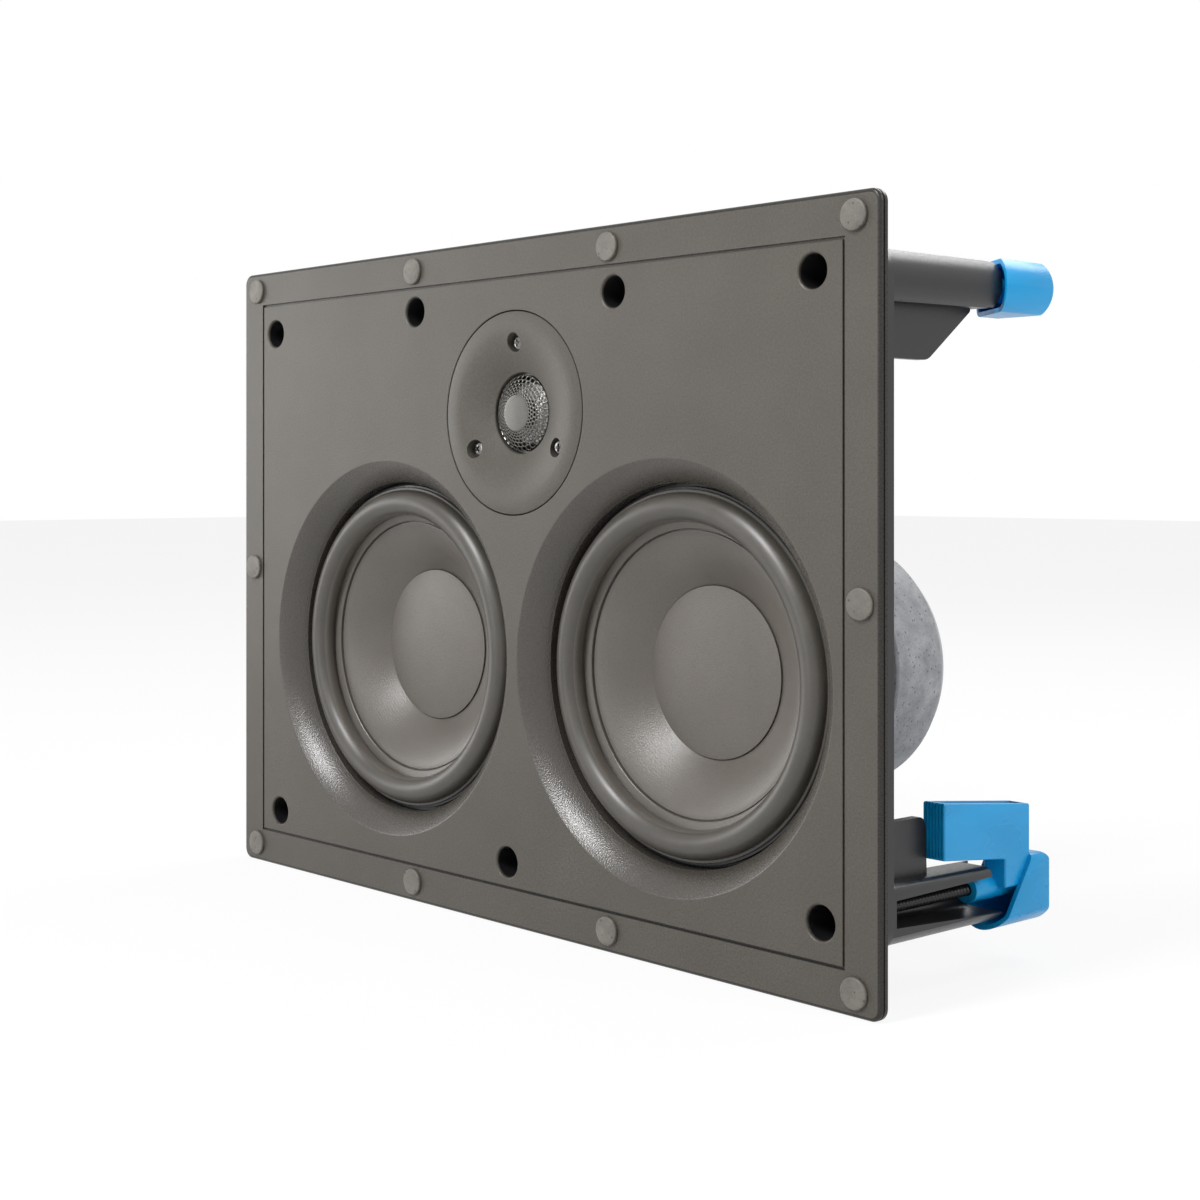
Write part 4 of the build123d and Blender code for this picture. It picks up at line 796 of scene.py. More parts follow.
def perforation_tree():
    """Repeats a cell with a hole in staggered rows, and bends them to a dome that bulges towards -Y."""
    tree, start, end = geometry_tree("Perforated dome", [
        ("Rows", "NodeSocketInt", 7), ("Around", "NodeSocketInt", 42), ("Inner radius", "NodeSocketFloat", 0.0063),
        ("Outer radius", "NodeSocketFloat", 0.0132), ("Rise", "NodeSocketFloat", 0.004),
        ("Inner hole", "NodeSocketFloat", 0.6), ("Finish", "NodeSocketMaterial", None),
    ])
    count = calc(tree, "MULTIPLY", start["Rows"], start["Around"])
    points = node(tree, "GeometryNodePoints", Count=count)
    index = tree.nodes.new("GeometryNodeInputIndex").outputs["Index"]
    row = calc(tree, "FLOOR", calc(tree, "DIVIDE", calc(tree, "ADD", index, 0.5), start["Around"]))
    column = calc(tree, "SUBTRACT", index, calc(tree, "MULTIPLY", row, start["Around"]))
    stagger = calc(tree, "MULTIPLY", calc(tree, "MODULO", row, 2.0), 0.5)
    place = node(tree, "ShaderNodeCombineXYZ", X=row, Y=calc(tree, "ADD", column, stagger)).outputs["Vector"]
    placed = node(tree, "GeometryNodeSetPosition", Geometry=points.outputs[0], Position=place)
    copies = node(tree, "GeometryNodeInstanceOnPoints", Points=placed.outputs[0], Instance=start["Geometry"])
    real = node(tree, "GeometryNodeRealizeInstances", Geometry=copies.outputs[0])
    here = axes(tree, tree.nodes.new("GeometryNodeInputPosition").outputs["Position"])
    rim = node(tree, "GeometryNodeInputNamedAttribute", Name="hole_rim").outputs["Attribute"]
    own_row = calc(tree, "FLOOR", here["X"])
    own_stagger = calc(tree, "MULTIPLY", calc(tree, "MODULO", own_row, 2.0), 0.5)
    middle_u = calc(tree, "ADD", own_row, 0.5)
    whole = calc(tree, "FLOOR", calc(tree, "SUBTRACT", here["Y"], own_stagger))
    middle_v = calc(tree, "ADD", calc(tree, "ADD", whole, own_stagger), 0.5)
    growth = calc(tree, "DIVIDE", own_row, calc(tree, "SUBTRACT", start["Rows"], 1.0))
    spare = calc(tree, "SUBTRACT", 1.0, start["Inner hole"])
    size = calc(tree, "ADD", start["Inner hole"], calc(tree, "MULTIPLY", spare, growth))
    shrink = calc(tree, "MULTIPLY", rim, calc(tree, "SUBTRACT", 1.0, size))
    shift_u = calc(tree, "MULTIPLY", calc(tree, "SUBTRACT", middle_u, here["X"]), shrink)
    shift_v = calc(tree, "MULTIPLY", calc(tree, "SUBTRACT", middle_v, here["Y"]), shrink)
    u = calc(tree, "ADD", here["X"], shift_u)
    v = calc(tree, "ADD", here["Y"], shift_v)
    ratio = calc(tree, "DIVIDE", start["Outer radius"], start["Inner radius"])
    growth_here = calc(tree, "POWER", ratio, calc(tree, "DIVIDE", u, start["Rows"]))
    radius = calc(tree, "MULTIPLY", growth_here, start["Inner radius"])
    angle = calc(tree, "MULTIPLY", calc(tree, "DIVIDE", v, start["Around"]), 2 * math.pi)
    outer_square = calc(tree, "MULTIPLY", start["Outer radius"], start["Outer radius"])
    rise_square = calc(tree, "MULTIPLY", start["Rise"], start["Rise"])
    squares = calc(tree, "ADD", outer_square, rise_square)
    sphere = calc(tree, "DIVIDE", squares, calc(tree, "MULTIPLY", start["Rise"], 2.0))
    sphere_square, square = calc(tree, "MULTIPLY", sphere, sphere), calc(tree, "MULTIPLY", radius, radius)
    fall = calc(tree, "SQRT", calc(tree, "SUBTRACT", sphere_square, square))
    domed = on_circle(tree, angle, radius, calc(tree, "SUBTRACT", sphere, fall))
    bent = node(tree, "GeometryNodeSetPosition", Geometry=real.outputs[0], Position=domed)
    merged = node(tree, "GeometryNodeMergeByDistance", Geometry=bent.outputs[0], Distance=0.00002)
    done = node(tree, "GeometryNodeSetMaterial", Geometry=merged.outputs[0], Material=start["Finish"])
    tree.links.new(done.outputs[0], end["Geometry"])
    return tree


# Baffle moulding

def post_section(inner_flat, dog_side):
    """Section of a clamp post: three flats and a bowed side, in the clamp's own frame."""
    bow = arc((-inner_flat, -6.7), ((7.9 - inner_flat) / 2, -10.7), (7.9, -6.7), 14)
    flats = rounded_polygon([
        (7.9, -6.7, 0), (7.9, dog_side, 3.0), (-inner_flat, dog_side, 3.0), (-inner_flat, -6.7, 0),
    ])
    return bow[1:-1] + flats


def in_clamp(name, rings):
    """Rings drawn in a clamp's own frame, put at its place on the baffle."""
    x, z = middle_of(f"clamp_screw_{name}")
    turn = math.radians(CLAMP_TURNS[name])
    place = Matrix.Translation((x, 0, z)) @ Matrix.Rotation(turn, 4, "Y")
    return [[place @ Vector(point) for point in ring] for ring in rings]


def plate_rings(outline, low, high, upright=False):
    """Rings of a plate from an outline in (reach, depth), across Z, or across X when upright."""
    rings = []
    for side in (low, high):
        if upright:
            rings.append([(side * MM, y * MM, r * MM) for r, y in outline])
        else:
            rings.append([(r * MM, y * MM, side * MM) for r, y in outline])
    return rings


def clamp_solids():
    """What a clamp post adds to the baffle."""
    sizes = bpy.context.scene.speaker_baffle
    deep, far = sizes.post_length / MM, sizes.bow_length / MM
    root, end = post_section(7.8, 9.2), post_section(6.9, 7.7)
    post = at_depths([
        (root, -1.0), (root, 0.0), (end, deep), (end, far - 0.4), ([(x * 0.96, z * 0.96) for x, z in end], far),
    ])
    inner = rounded_polygon([(-2, -1, 0), (-24, -1, 0), (-24, 49.5, 6.0), (-7.8, 71.5, 1.0), (-2, 71.5, 0)], 6)
    side = rounded_polygon([(2, -1, 0), (25.9, -1, 0), (25.9, 44.2, 3.0), (2, 45.4, 0)], 6)
    return [post, plate_rings(inner, -1.5, 1.5), plate_rings(side, -1.5, 1.5, True)]


def clamp_hollows(front):
    """What a clamp post loses: the screwdriver hole, the screw's seat and the open slot."""
    hole = DRIVER_HOLE
    bore = [
        (circle(hole + 1.4), front - 0.7), (circle(hole + 0.7), front), (circle(hole + 0.3), front + 0.25),
        (circle(hole), front + 0.9), (circle(hole), 12.35), (circle(SCREW_WELL), 12.4),
        (circle(SCREW_WELL), WELL_FLOOR),
    ]
    seat = rod(2.3, (0, 0), 24, WELL_FLOOR - 1, 30.0)
    root = rounded_polygon([(-4.1, -4.1, 1.5), (18, -4.1, 0), (18, 4.1, 0), (-4.1, 4.1, 1.5)])
    end = rounded_polygon([(-5.0, -7.0, 2.5), (18, -7.0, 0), (18, 5.0, 0), (-5.0, 5.0, 2.5)])
    slot = [(root, 22.0), (end, BOW_END), (end, PAST_END)]
    short = [([(-3.9, 0.0), (18, 0.0), (18, 14.0), (-3.9, 14.0)], depth) for depth in (70.0, PAST_END)]
    over = [([(-18, -7.0), (18, -7.0), (18, 14.0), (-18, 14.0)], depth) for depth in (POST_END, PAST_END)]
    return [at_depths(bore), seat, at_depths(slot), at_depths(short), at_depths(over)]


def joined_by(base, collection, operation):
    """Adds a Boolean with every object of a collection."""
    modifier = base.modifiers.new(operation.title(), "BOOLEAN")
    modifier.operation = operation
    modifier.operand_type = "COLLECTION"
    modifier.collection = collection
    modifier.solver = "MANIFOLD"


def baffle_finish_index(centre, normal, woofers):
    """Which finish a face of the moulding has: 0 panel, 1 border, 2 flare, 3 rear."""
    x, y, z = (value / MM for value in centre)
    if y > 0.05:
        near = any(math.hypot(x - wx / MM, z - wz / MM) < 69.6 for wx, wz in woofers)
        return 2 if near and y < 9.2 and normal.y < 0.3 else 3
    for wx, wz in woofers:
        radius = math.hypot(x - wx / MM, z - wz / MM)
        if radius < 69.5 and y > -3.45:
            return 2
    if normal.y > 0.9:
        return 3
    sizes = bpy.context.scene.speaker_baffle
    half_x = sizes.width / 2 / MM - sizes.border / MM
    half_z = sizes.height / 2 / MM - sizes.border / MM
    return 1 if abs(x) > half_x or abs(z) > half_z else 0


class SPEAKER_OT_baffle(bpy.types.Operator):
    """Builds the whole baffle moulding: flange, mouths, tweeter seat, collar, posts and gussets"""
    bl_idname = "speaker.baffle"
    bl_label = "Baffle moulding"

    def execute(self, context):
        sizes = context.scene.speaker_baffle
        width, height, corner = sizes.width / MM, sizes.height / MM, sizes.corner / MM
        front = -sizes.thickness / MM
        woofers = [middle_of(f"{side}_woofer_magnet") for side in SIDES]
        tweeter = middle_of("tweeter_faceplate")
        levels_in = []
        for i in range(7):
            angle = math.pi / 2 * i / 6
            levels_in.append((1.2 * (1 - math.sin(angle)), front + 1.2 * (1 - math.cos(angle))))
        levels_in += [(0, front + 1.25), (0.15, front + 1.4), (0.8, front + 1.4), (0.8, front + 1.9),
                      (0.15, front + 1.9), (0, front + 2.05), (0, -0.3), (0.3, 0)]
        rings = [
            (rounded_rectangle(width - 2 * d, height - 2 * d, max(0.4, corner - d)), depth) for d, depth in levels_in
        ]
        flange = solid("Baffle", at_depths(rings))
        added = bpy.data.collections.new("Added to the baffle")
        removed = bpy.data.collections.new("Cut from the baffle")

        def keep(collection, mesh_or_rings, name):
            if isinstance(mesh_or_rings, list):
                made = solid(name, mesh_or_rings)
            else:
                made = new_object(name, mesh_or_rings)
            put_into(collection, made)

        outer = rounded_rectangle(width - 23.4, height - 28.0, 8.0)
        inner = rounded_rectangle(width - 30.2, height - 34.8, 4.6)
        wall = [
            [(x * MM, -1 * MM, z * MM) for x, z in outer], [(x * MM, 17.6 * MM, z * MM) for x, z in outer],
            [(x * MM * 0.9975, 18 * MM, z * MM * 0.9975) for x, z in outer],
            [(x * MM, 18 * MM, z * MM) for x, z in inner], [(x * MM, -1 * MM, z * MM) for x, z in inner],
        ]
        bm = bmesh.new()
        rows = [[bm.verts.new(point) for point in ring] for ring in wall]
        for low, high in zip(rows, rows[1:] + rows[:1]):
            join_rows(bm, low, high)
        keep(added, mesh_from("Collar", bm), "Collar")
        for x, z in woofers:
            ring = [(71.0, -1.0), (71.0, 8.6), (70.6, 9.0), (50.0, 9.0), (50.0, -1.0)]
            keep(added, turned("Woofer seat", ring, (x, z)), "Woofer seat")
            mouth = [(0.0, front - 2), (70.4, front - 2), (69.6, front - 0.02), (69.2, front + 0.06)]
            mouth += arc((68.9, front + 0.25), (65.25, -0.25), (61.7, 4.8), 14)
            mouth += [(61.5, 5.1), (61.5, 9.6), (61.5, 20.0), (0.0, 20.0)]
            keep(removed, turned("Mouth", mouth, (x, z), closed=False), "Mouth")
            for spot in spots_on((x, z), WOOFER_SCREW_CIRCLE, 4, 45):
                keep(removed, rod(1.95, spot, 16, 2.8, 20.0), "Pilot")
        pocket = [(38.3, -1.0), (38.3, 6.6), (37.9, 7.0), (10.0, 7.0), (10.0, -1.0)]
        keep(added, turned("Tweeter seat", pocket, tweeter, 128), "Tweeter seat")
        way = [(0.0, front - 2), (36.2, front - 2), (35.75, front), (35.45, front + 0.12), (35.3, front + 0.45),
               (35.3, 4.0), (19.5, 4.0), (19.5, 12.0), (0.0, 12.0)]
        keep(removed, turned("Tweeter way", way, tweeter, 128, False), "Tweeter way")
        for spot in spots_on(tweeter, TWEETER_SCREW_CIRCLE, 3, 90):
            keep(added, rod(4.2, spot, 32, 4.5, 13.0), "Boss")
            keep(removed, rod(1.6, spot, 16, 2.0, 12.0), "Boss hole")
        low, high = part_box("crossover_board")
        for x in (low.x / MM + 4, high.x / MM - 4):
            for z in (low.z / MM + 4, high.z / MM - 4):
                keep(added, rod(3.4, (x, z), 32, -1.0, 8.0), "Standoff")
                keep(removed, rod(1.5, (x, z), 16, 1.0, 12.0), "Pilot")
        for name in CLAMPS:
            for rings_in in clamp_solids():
                keep(added, in_clamp(name, rings_in), "Post")
            for rings_in in clamp_hollows(front):
                keep(removed, in_clamp(name, rings_in), "Post hollow")
        line = sizes.line / MM / 2
        edge_x, edge_z = width / 2 - sizes.border / MM, height / 2 - sizes.border / MM
        bars = []
        for sign in (-1, 1):
            bars.append((sign * edge_x - line, sign * edge_x + line, -edge_z - line, edge_z + line))
            bars.append((-edge_x - line, edge_x + line, sign * edge_z - line, sign * edge_z + line))
        for x0, x1, z0, z1 in bars:
            outline = [(x0, z0), (x1, z0), (x1, z1), (x0, z1)]
            wide = [(x0 - 0.2, z0 - 0.2), (x1 + 0.2, z0 - 0.2), (x1 + 0.2, z1 + 0.2), (x0 - 0.2, z1 + 0.2)]
            keep(removed, at_depths([(wide, front - 0.05), (outline, front + 0.15), (outline, front + 0.8)]), "Line")
        joined_by(flange, added, "UNION")
        joined_by(flange, removed, "DIFFERENCE")
        made = applied(flange, "Baffle_moulding")
        drop(added)
        drop(removed)
        if len(made.data.polygons) < 2000:
            raise RuntimeError("the baffle's Booleans gave too few faces")
        bm = bmesh.new()
        bm.from_mesh(made.data)
        bmesh.ops.remove_doubles(bm, verts=bm.verts, dist=0.000004)
        bmesh.ops.dissolve_degenerate(bm, edges=bm.edges, dist=0.000004)
        bm.to_mesh(made.data)
        bm.free()
        made.data.materials.clear()
        add_finishes(made.data, "panel", "border", "flare", "rear")
        for face in made.data.polygons:
            face.material_index = baffle_finish_index(face.center, face.normal, woofers)
        shade(made.data, 32)
        even_normals(made)
        made = applied(made, "Baffle_moulding")
        piece(made, "frame", "baffle", "baffle_frame")
        return {"FINISHED"}


class SPEAKER_OT_grille_magnets(bpy.types.Operator):
    """Sets the ten grille magnets out on the border"""
    bl_idname = "speaker.grille_magnets"
    bl_label = "Grille magnets"

    def execute(self, context):
        sizes = context.scene.speaker_baffle
        front = -sizes.thickness / MM
        profile = [(0.0, front - 1.2), (4.2, front - 1.2), (4.4, front - 1.17), (4.62, front - 1.0),
                   (4.7, front - 0.75), (4.7, front - 0.12), (4.62, front), (0.0, front)]
        source = new_object("Disc", turned("Disc", profile, (0, 0), 64, False))
        shade(source.data)
        side = sizes.width / 2 / MM
        top = sizes.height / 2 / MM - 7.2
        places = [(sx * x, sz * top) for sz in (-1, 1) for sx in (-1, 1) for x in (side - 9.3, 51.0)]
        places += [(7.2 - side, 0), (side - 7.2, 0)]
        mesh = bpy.data.meshes.new("Places")
        mesh.from_pydata([(x * MM, 0, z * MM) for x, z in places], [], [])
        made = new_object("Grille_magnets", mesh)
        add_tree(made, points_tree(), {"Piece": source, "Turn step": 1.1, "Finish": FINISHES["disc"]})
        made = applied(made, "Grille_magnet_discs")
        one_finish(made, "disc")
        bpy.data.objects.remove(source)
        piece(made, "frame", "magnet_disc", "grille_magnets")
        return {"FINISHED"}


class SPEAKER_OT_woofers(bpy.types.Operator):
    """Builds the surrounds, cones and dust caps of the two woofers"""
    bl_idname = "speaker.woofers"
    bl_label = "Woofer cones and surrounds"

    def execute(self, context):
        sizes = context.scene.speaker_drivers
        roll, groove, rise = sizes.roll_height / MM, sizes.cone_groove / MM, sizes.cap_rise / MM
        rim, deep = sizes.cone_depth / MM, sizes.cap_depth / MM
        for side in SIDES:
            place = middle_of(f"{side}_woofer_magnet")
            crest = 6.9 - roll + 0.9
            outside = arc((58.6, 6.9), (54.3, crest), (50.0, rim - 0.9), 24)
            inside = arc((50.9, rim - 0.1), (54.3, crest + 0.9), (57.7, 7.8), 24)
            profile = [(59.6, 7.8), (59.6, 7.15), (59.35, 6.9)] + outside
            profile += [(49.95, rim - 1.3), (49.8, rim - 1.45), (47.05, rim - 0.75), (46.85, rim - 0.55),
                        (46.8, rim - 0.1)] + inside
            mesh = turned("Surround", profile, place, 192)
            shade(mesh, 30)
            add_finishes(mesh, "rubber", f"{side}_cone")
            for face in mesh.polygons:
                radius = math.hypot(face.center.x - place[0], face.center.z - place[1])
                face.material_index = 1 if radius < 50.0 * MM and face.normal.y < 0.2 else 0
            rubber = new_object(f"{side}_surround", mesh)
            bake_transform(rubber)
            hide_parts(f"{side}_woofer_surround")
            inner = CONE_RIM - groove
            slope = (deep - rim) / (inner - CAP_RADIUS)

            def front_at(radius):
                if radius < CAP_RADIUS:
                    return deep + slope * (CAP_RADIUS - radius)
                return rim + (deep - rim) * (max(inner - radius, 0.0) / (inner - CAP_RADIUS)) ** CONE_CURVE

            profile = [(50.0, rim), (CONE_RIM, rim), (46.75, rim + 0.7), (inner + 0.05, rim + 0.7),
                       (inner, rim + 0.1), (inner - 0.15, rim + 0.1)]
            steps = 24
            for i in range(1, steps + 1):
                radius = inner - 0.2 + (CONE_BORE - inner + 0.2) * i / steps
                profile.append((radius, front_at(radius)))
            profile += [(CONE_BORE, front_at(CONE_BORE) + 1.3), (inner, rim + 1.3), (50.0, rim + 1.0)]
            mesh = turned("Cone", profile, place, 192)
            shade(mesh, 30)
            add_finishes(mesh, f"{side}_cone")
            body = f"{side}_cone_assembly"
            piece(new_object(f"{side}_cone", mesh), body, "cone", f"{side}_woofer_cone")
            edge = deep - 0.1
            face = cap_points(CAP_RADIUS, rise, edge - 0.8, 20)
            back = cap_points(27.9, rise, edge - 0.1, 20)
            profile = [(27.9, edge), (CAP_RADIUS, edge - 0.1), (CAP_RADIUS, edge - 0.7)] + face[1:] + back[::-1]
            mesh = turned("Dust cap", profile, place, 192, False)
            shade(mesh, 40)
            add_finishes(mesh, f"{side}_cone")
            piece(new_object(f"{side}_dust_cap", mesh), body, "cone", f"{side}_woofer_dust_cap")
        return {"FINISHED"}


def screw_mesh(name, head, head_height, shank, reach, recess, steps=40):
    """A pan-head screw along +Y with a cross recess, its head's top at depth 0, in millimetres."""
    profile = [(0.0, 0.0), (head * 0.55, 0.02), (head * 0.78, 0.14), (head * 0.92, 0.36), (head, head_height * 0.62),
               (head, head_height), (shank, head_height), (shank, reach - shank), (shank * 0.25, reach), (0.0, reach)]
    body = new_object(name, turned(name, profile, (0, 0), steps, False))
    cutters = bpy.data.collections.new("Recess")
    for turn in (0, 90):
        arm = recess * 0.5
        wide = [(-arm, -0.42), (arm, -0.42), (arm, 0.42), (-arm, 0.42)]
        deep = [(-arm * 0.45, -0.3), (arm * 0.45, -0.3), (arm * 0.45, 0.3), (-arm * 0.45, 0.3)]
        rings = at_depths([(wide, -0.5), (wide, 0.1), (deep, 1.1)])
        spin = Matrix.Rotation(math.radians(turn), 4, "Y")
        cutter = solid("Recess bar", [[spin @ Vector(point) for point in ring] for ring in rings])
        put_into(cutters, cutter)
    joined_by(body, cutters, "DIFFERENCE")
    body = applied(body, name)
    drop(cutters)
    shade(body.data, 35)
    return body


def ring_of(source, name, centre, count, radius, first, turn_step, key):
    """Copies of a screw on a circle round a centre, as one object. The screw itself goes."""
    made = new_object("Holder", bpy.data.meshes.new("Holder"))
    add_tree(made, ring_tree(), {
        "Fastener": source, "Count": count, "Radius": radius * MM, "Start angle": math.radians(first),
        "Turn step": turn_step, "Finish": FINISHES[key],
    })
    made = applied(made, name)
    one_finish(made, key)
    place_at(made, centre)
    bpy.data.objects.remove(source)
    return made


class SPEAKER_OT_tweeter(bpy.types.Operator):
    """Builds the tweeter's face plate, its perforated lens and its three screws"""
    bl_idname = "speaker.tweeter"
    bl_label = "Tweeter front"

    def execute(self, context):
        sizes = context.scene.speaker_drivers
        place = middle_of("tweeter_faceplate")
        def dish(radius):
            share = (30.0 - radius) / 16.0
            return FRONT + 4.5 * share ** 1.6

        face = [(34.55, FRONT), (34.9, -3.38), (35.05, -3.0), (35.1, 4.0), (15.8, 4.0), (15.8, 3.3), (14.0, 3.3),
                (14.0, 1.2), (14.25, dish(14.2) - 0.05)]
        face += [(14.6 + 15.4 * i / 22, dish(14.6 + 15.4 * i / 22)) for i in range(23)]
        plate = new_object("Plate", turned("Plate", face, place, 128))
        cuts = bpy.data.collections.new("Counterbores")
        for spot in spots_on(place, TWEETER_SCREW_CIRCLE, 3, 90):
            bore = [(circle(3.6, spot, 40), -5.0), (circle(3.6, spot, 40), -3.7), (circle(3.3, spot, 40), -2.9),
                    (circle(3.3, spot, 40), 0.4)]
            for rings in (at_depths(bore), rod(1.6, spot, 24, 0.0, 6.0)):
                put_into(cuts, solid("Counterbore", rings))
        joined_by(plate, cuts, "DIFFERENCE")
        plate = applied(plate, "Tweeter_faceplate")
        drop(cuts)
        one_finish(plate, "panel")
        shade(plate.data, 30)
        piece(plate, "frame", "faceplate", "tweeter_faceplate")

        self.lens(sizes, place)

        source = screw_mesh("Tweeter screw", 2.6, 1.7, 1.4, 10.4, 2.7)
        source.data.transform(Matrix.Translation((0, -1.3 * MM, 0)))
        screws = ring_of(source, "Tweeter_face_screws", place, 3, TWEETER_SCREW_CIRCLE, 90, 0.8, "dark_steel")
        piece(screws, "frame", "bright_steel", "tweeter_screws")
        return {"FINISHED"}

    def lens(self, sizes, place):
        """The lens: a plain middle, staggered rows of holes, a skirt and a rim."""
        inner, outer, rise, rim, apex = 6.3, 13.2, 4.0, 3.3, -2.4
        rows, around, share = sizes.lens_rows, sizes.lens_around, sizes.lens_hole
        bm = bmesh.new()
        mark = bm.verts.layers.float.new("hole_rim")
        corners = [(0, 0), (0.5, 0), (1, 0), (1, 0.25), (1, 0.5), (1, 0.75), (1, 1), (0.5, 1), (0, 1), (0, 0.75),
                   (0, 0.5), (0, 0.25)]
        outside = [bm.verts.new((x, y, 0)) for x, y in corners]
        inside = []
        for x, y in corners:
            angle = math.atan2(y - 0.5, x - 0.5)
            vert = bm.verts.new((0.5 + share * math.cos(angle), 0.5 + share * math.sin(angle), 0))
            vert[mark] = 1.0
            inside.append(vert)
        join_rows(bm, outside, inside)
        mesh = bpy.data.meshes.new("Cell")
        bm.to_mesh(mesh)
        bm.free()
        dome = new_object("Dome rows", mesh)
        add_tree(dome, perforation_tree(), {
            "Rows": rows, "Around": around, "Inner radius": inner * MM, "Outer radius": outer * MM, "Rise": rise * MM,
            "Inner hole": 0.82, "Finish": FINISHES["chrome"],
        })
        dome = applied(dome, "Dome rows")
        bm = bmesh.new()
        bm.from_mesh(dome.data)
        bmesh.ops.translate(bm, verts=bm.verts, vec=(0, apex * MM, 0))
        sphere = (outer ** 2 + rise ** 2) / (2 * rise)
        middle, crown = apex + sphere - math.sqrt(sphere ** 2 - inner ** 2), 0.15
        steps = around * 4
        loops = []
        for i in range(9):
            radius = inner * (1 - i / 9)
            depth = middle - crown * (1 - (radius / inner) ** 2)
            angles = [2 * math.pi * k / steps for k in range(steps)]
            loops.append([
                bm.verts.new((radius * MM * math.cos(a), depth * MM, radius * MM * math.sin(a))) for a in angles
            ])
        loops.append([bm.verts.new((0, (middle - crown) * MM, 0))])
        for low, high in zip(loops, loops[1:]):
            join_rows(bm, low, high)
        bmesh.ops.remove_doubles(bm, verts=bm.verts, dist=0.00002)
        bmesh.ops.recalc_face_normals(bm, faces=bm.faces)
        top = min(bm.faces, key=lambda f: f.calc_center_median().y)
        if top.normal.y > 0:
            bmesh.ops.reverse_faces(bm, faces=bm.faces)
        bm.to_mesh(dome.data)
        bm.free()
        shade(dome.data, 50)
        wall = dome.modifiers.new("Wall", "SOLIDIFY")
        wall.thickness = 0.25 * MM
        wall.offset = -1
        dome = applied(dome, "Tweeter_lens_dome")
        one_finish(dome, "chrome")
        place_at(dome, place)
        piece(dome, "frame", "lens", "tweeter_lens")
        base = rim - 1.7
        skirt = [(13.2, base), (13.2, rim - 0.1), (15.5, rim - 0.05), (15.6, rim + 0.05), (15.6, 4.0), (12.6, 4.0),
                 (12.6, base + 0.1), (12.95, base - 0.15)]
        mesh = turned("Skirt", skirt, place, 128)
        shade(mesh, 40)
        add_finishes(mesh, "chrome")
        piece(new_object("Tweeter_lens_skirt", mesh), "frame", "lens")


def finished_copy(node_name, name, bevel, finish_names, pick=None, segments=2, angle=30.0):
    """A merged copy of a CAD node with softened edges and its finishes, which then stands for it."""
    source = frame["nodes"][node_name]
    bm = bmesh.new()
    bm.from_mesh(source.data)
    bmesh.ops.remove_doubles(bm, verts=bm.verts, dist=0.000002)
    bmesh.ops.dissolve_limit(
        bm, angle_limit=math.radians(0.4), verts=bm.verts, edges=bm.edges, delimit={"NORMAL"},
    )
    mesh = bpy.data.meshes.new(name)
    bm.to_mesh(mesh)
    bm.free()
    add_finishes(mesh, *finish_names)
    for face in mesh.polygons:
        face.material_index = pick(face.center, face.normal) if pick else 0
    made = new_object(name, mesh)
    shade(mesh, angle)
    if bevel > 0:
        soft = made.modifiers.new("Soft edges", "BEVEL")
        soft.width = bevel * MM
        soft.segments = segments
        soft.limit_method = "ANGLE"
        soft.angle_limit = math.radians(angle)
        soft.use_clamp_overlap = True
        soft.harden_normals = False
        even_normals(made)
    made = applied(made, name)
    if bevel > 0:
        shade(made.data, 42)
    return made


class SPEAKER_OT_clamps(bpy.types.Operator):
    """Builds the seven blue clamp dogs and their threaded screws"""
    bl_idname = "speaker.clamps"
    bl_label = "Clamps"

    def execute(self, context):
        sizes = context.scene.speaker_clamps
        head = screw_mesh("Clamp screw head", 4.1, 3.0, 2.0, 5.0, 4.6, 48)
        tree = thread_tree()
        for name in CLAMPS:
            dog = finished_copy(f"clamp_dog_{name}", f"Dog_{name}", sizes.round / MM, ["clamp"], segments=3)
            piece(dog, f"dog_{name}", "clamp_blue", f"clamp_dog_{name}")
            x, z = middle_of(f"clamp_screw_{name}")
            low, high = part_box(f"clamp_screw_{name}")
            start = 17.6 * MM
            rod = new_object("Thread", bpy.data.meshes.new("Thread"))
            add_tree(rod, tree, {
                "Length": high.y - start - 1.2 * MM, "Radius": 1.98 * MM, "Pitch": sizes.pitch,
                "Thread depth": sizes.thread_depth, "Finish": FINISHES["black_steel"],
            })
            rod = applied(rod, "Thread")
            bm = bmesh.new()
            bm.from_mesh(rod.data)
            bmesh.ops.translate(bm, verts=bm.verts, vec=(0, start, 0))
            rims = [edge for edge in bm.edges if edge.is_boundary]
            grown = bmesh.ops.extrude_edge_only(bm, edges=rims)["geom"]
            for vert in (item for item in grown if isinstance(item, bmesh.types.BMVert)):
                at_tip = vert.co.y > (start + high.y) / 2
                vert.co.x *= 0.4
                vert.co.z *= 0.4
                vert.co.y += 1.2 * MM if at_tip else -0.4 * MM
            rims = [edge for edge in bm.edges if edge.is_boundary]
            bmesh.ops.holes_fill(bm, edges=rims)
            top = head.data.copy()
            top.transform(Matrix.Translation((0, low.y, 0)))
            bm.from_mesh(top)
            mesh = mesh_from(f"Screw_{name}", bm)
            mesh.transform(Matrix.Translation((x, 0, z)))
            shade(mesh, 40)
            made = new_object(f"Screw_{name}", mesh)
            one_finish(made, "black_steel")
            bpy.data.objects.remove(rod)
            piece(made, f"screw_{name}", "black_steel", f"clamp_screw_{name}")
        bpy.data.objects.remove(head)
        return {"FINISHED"}


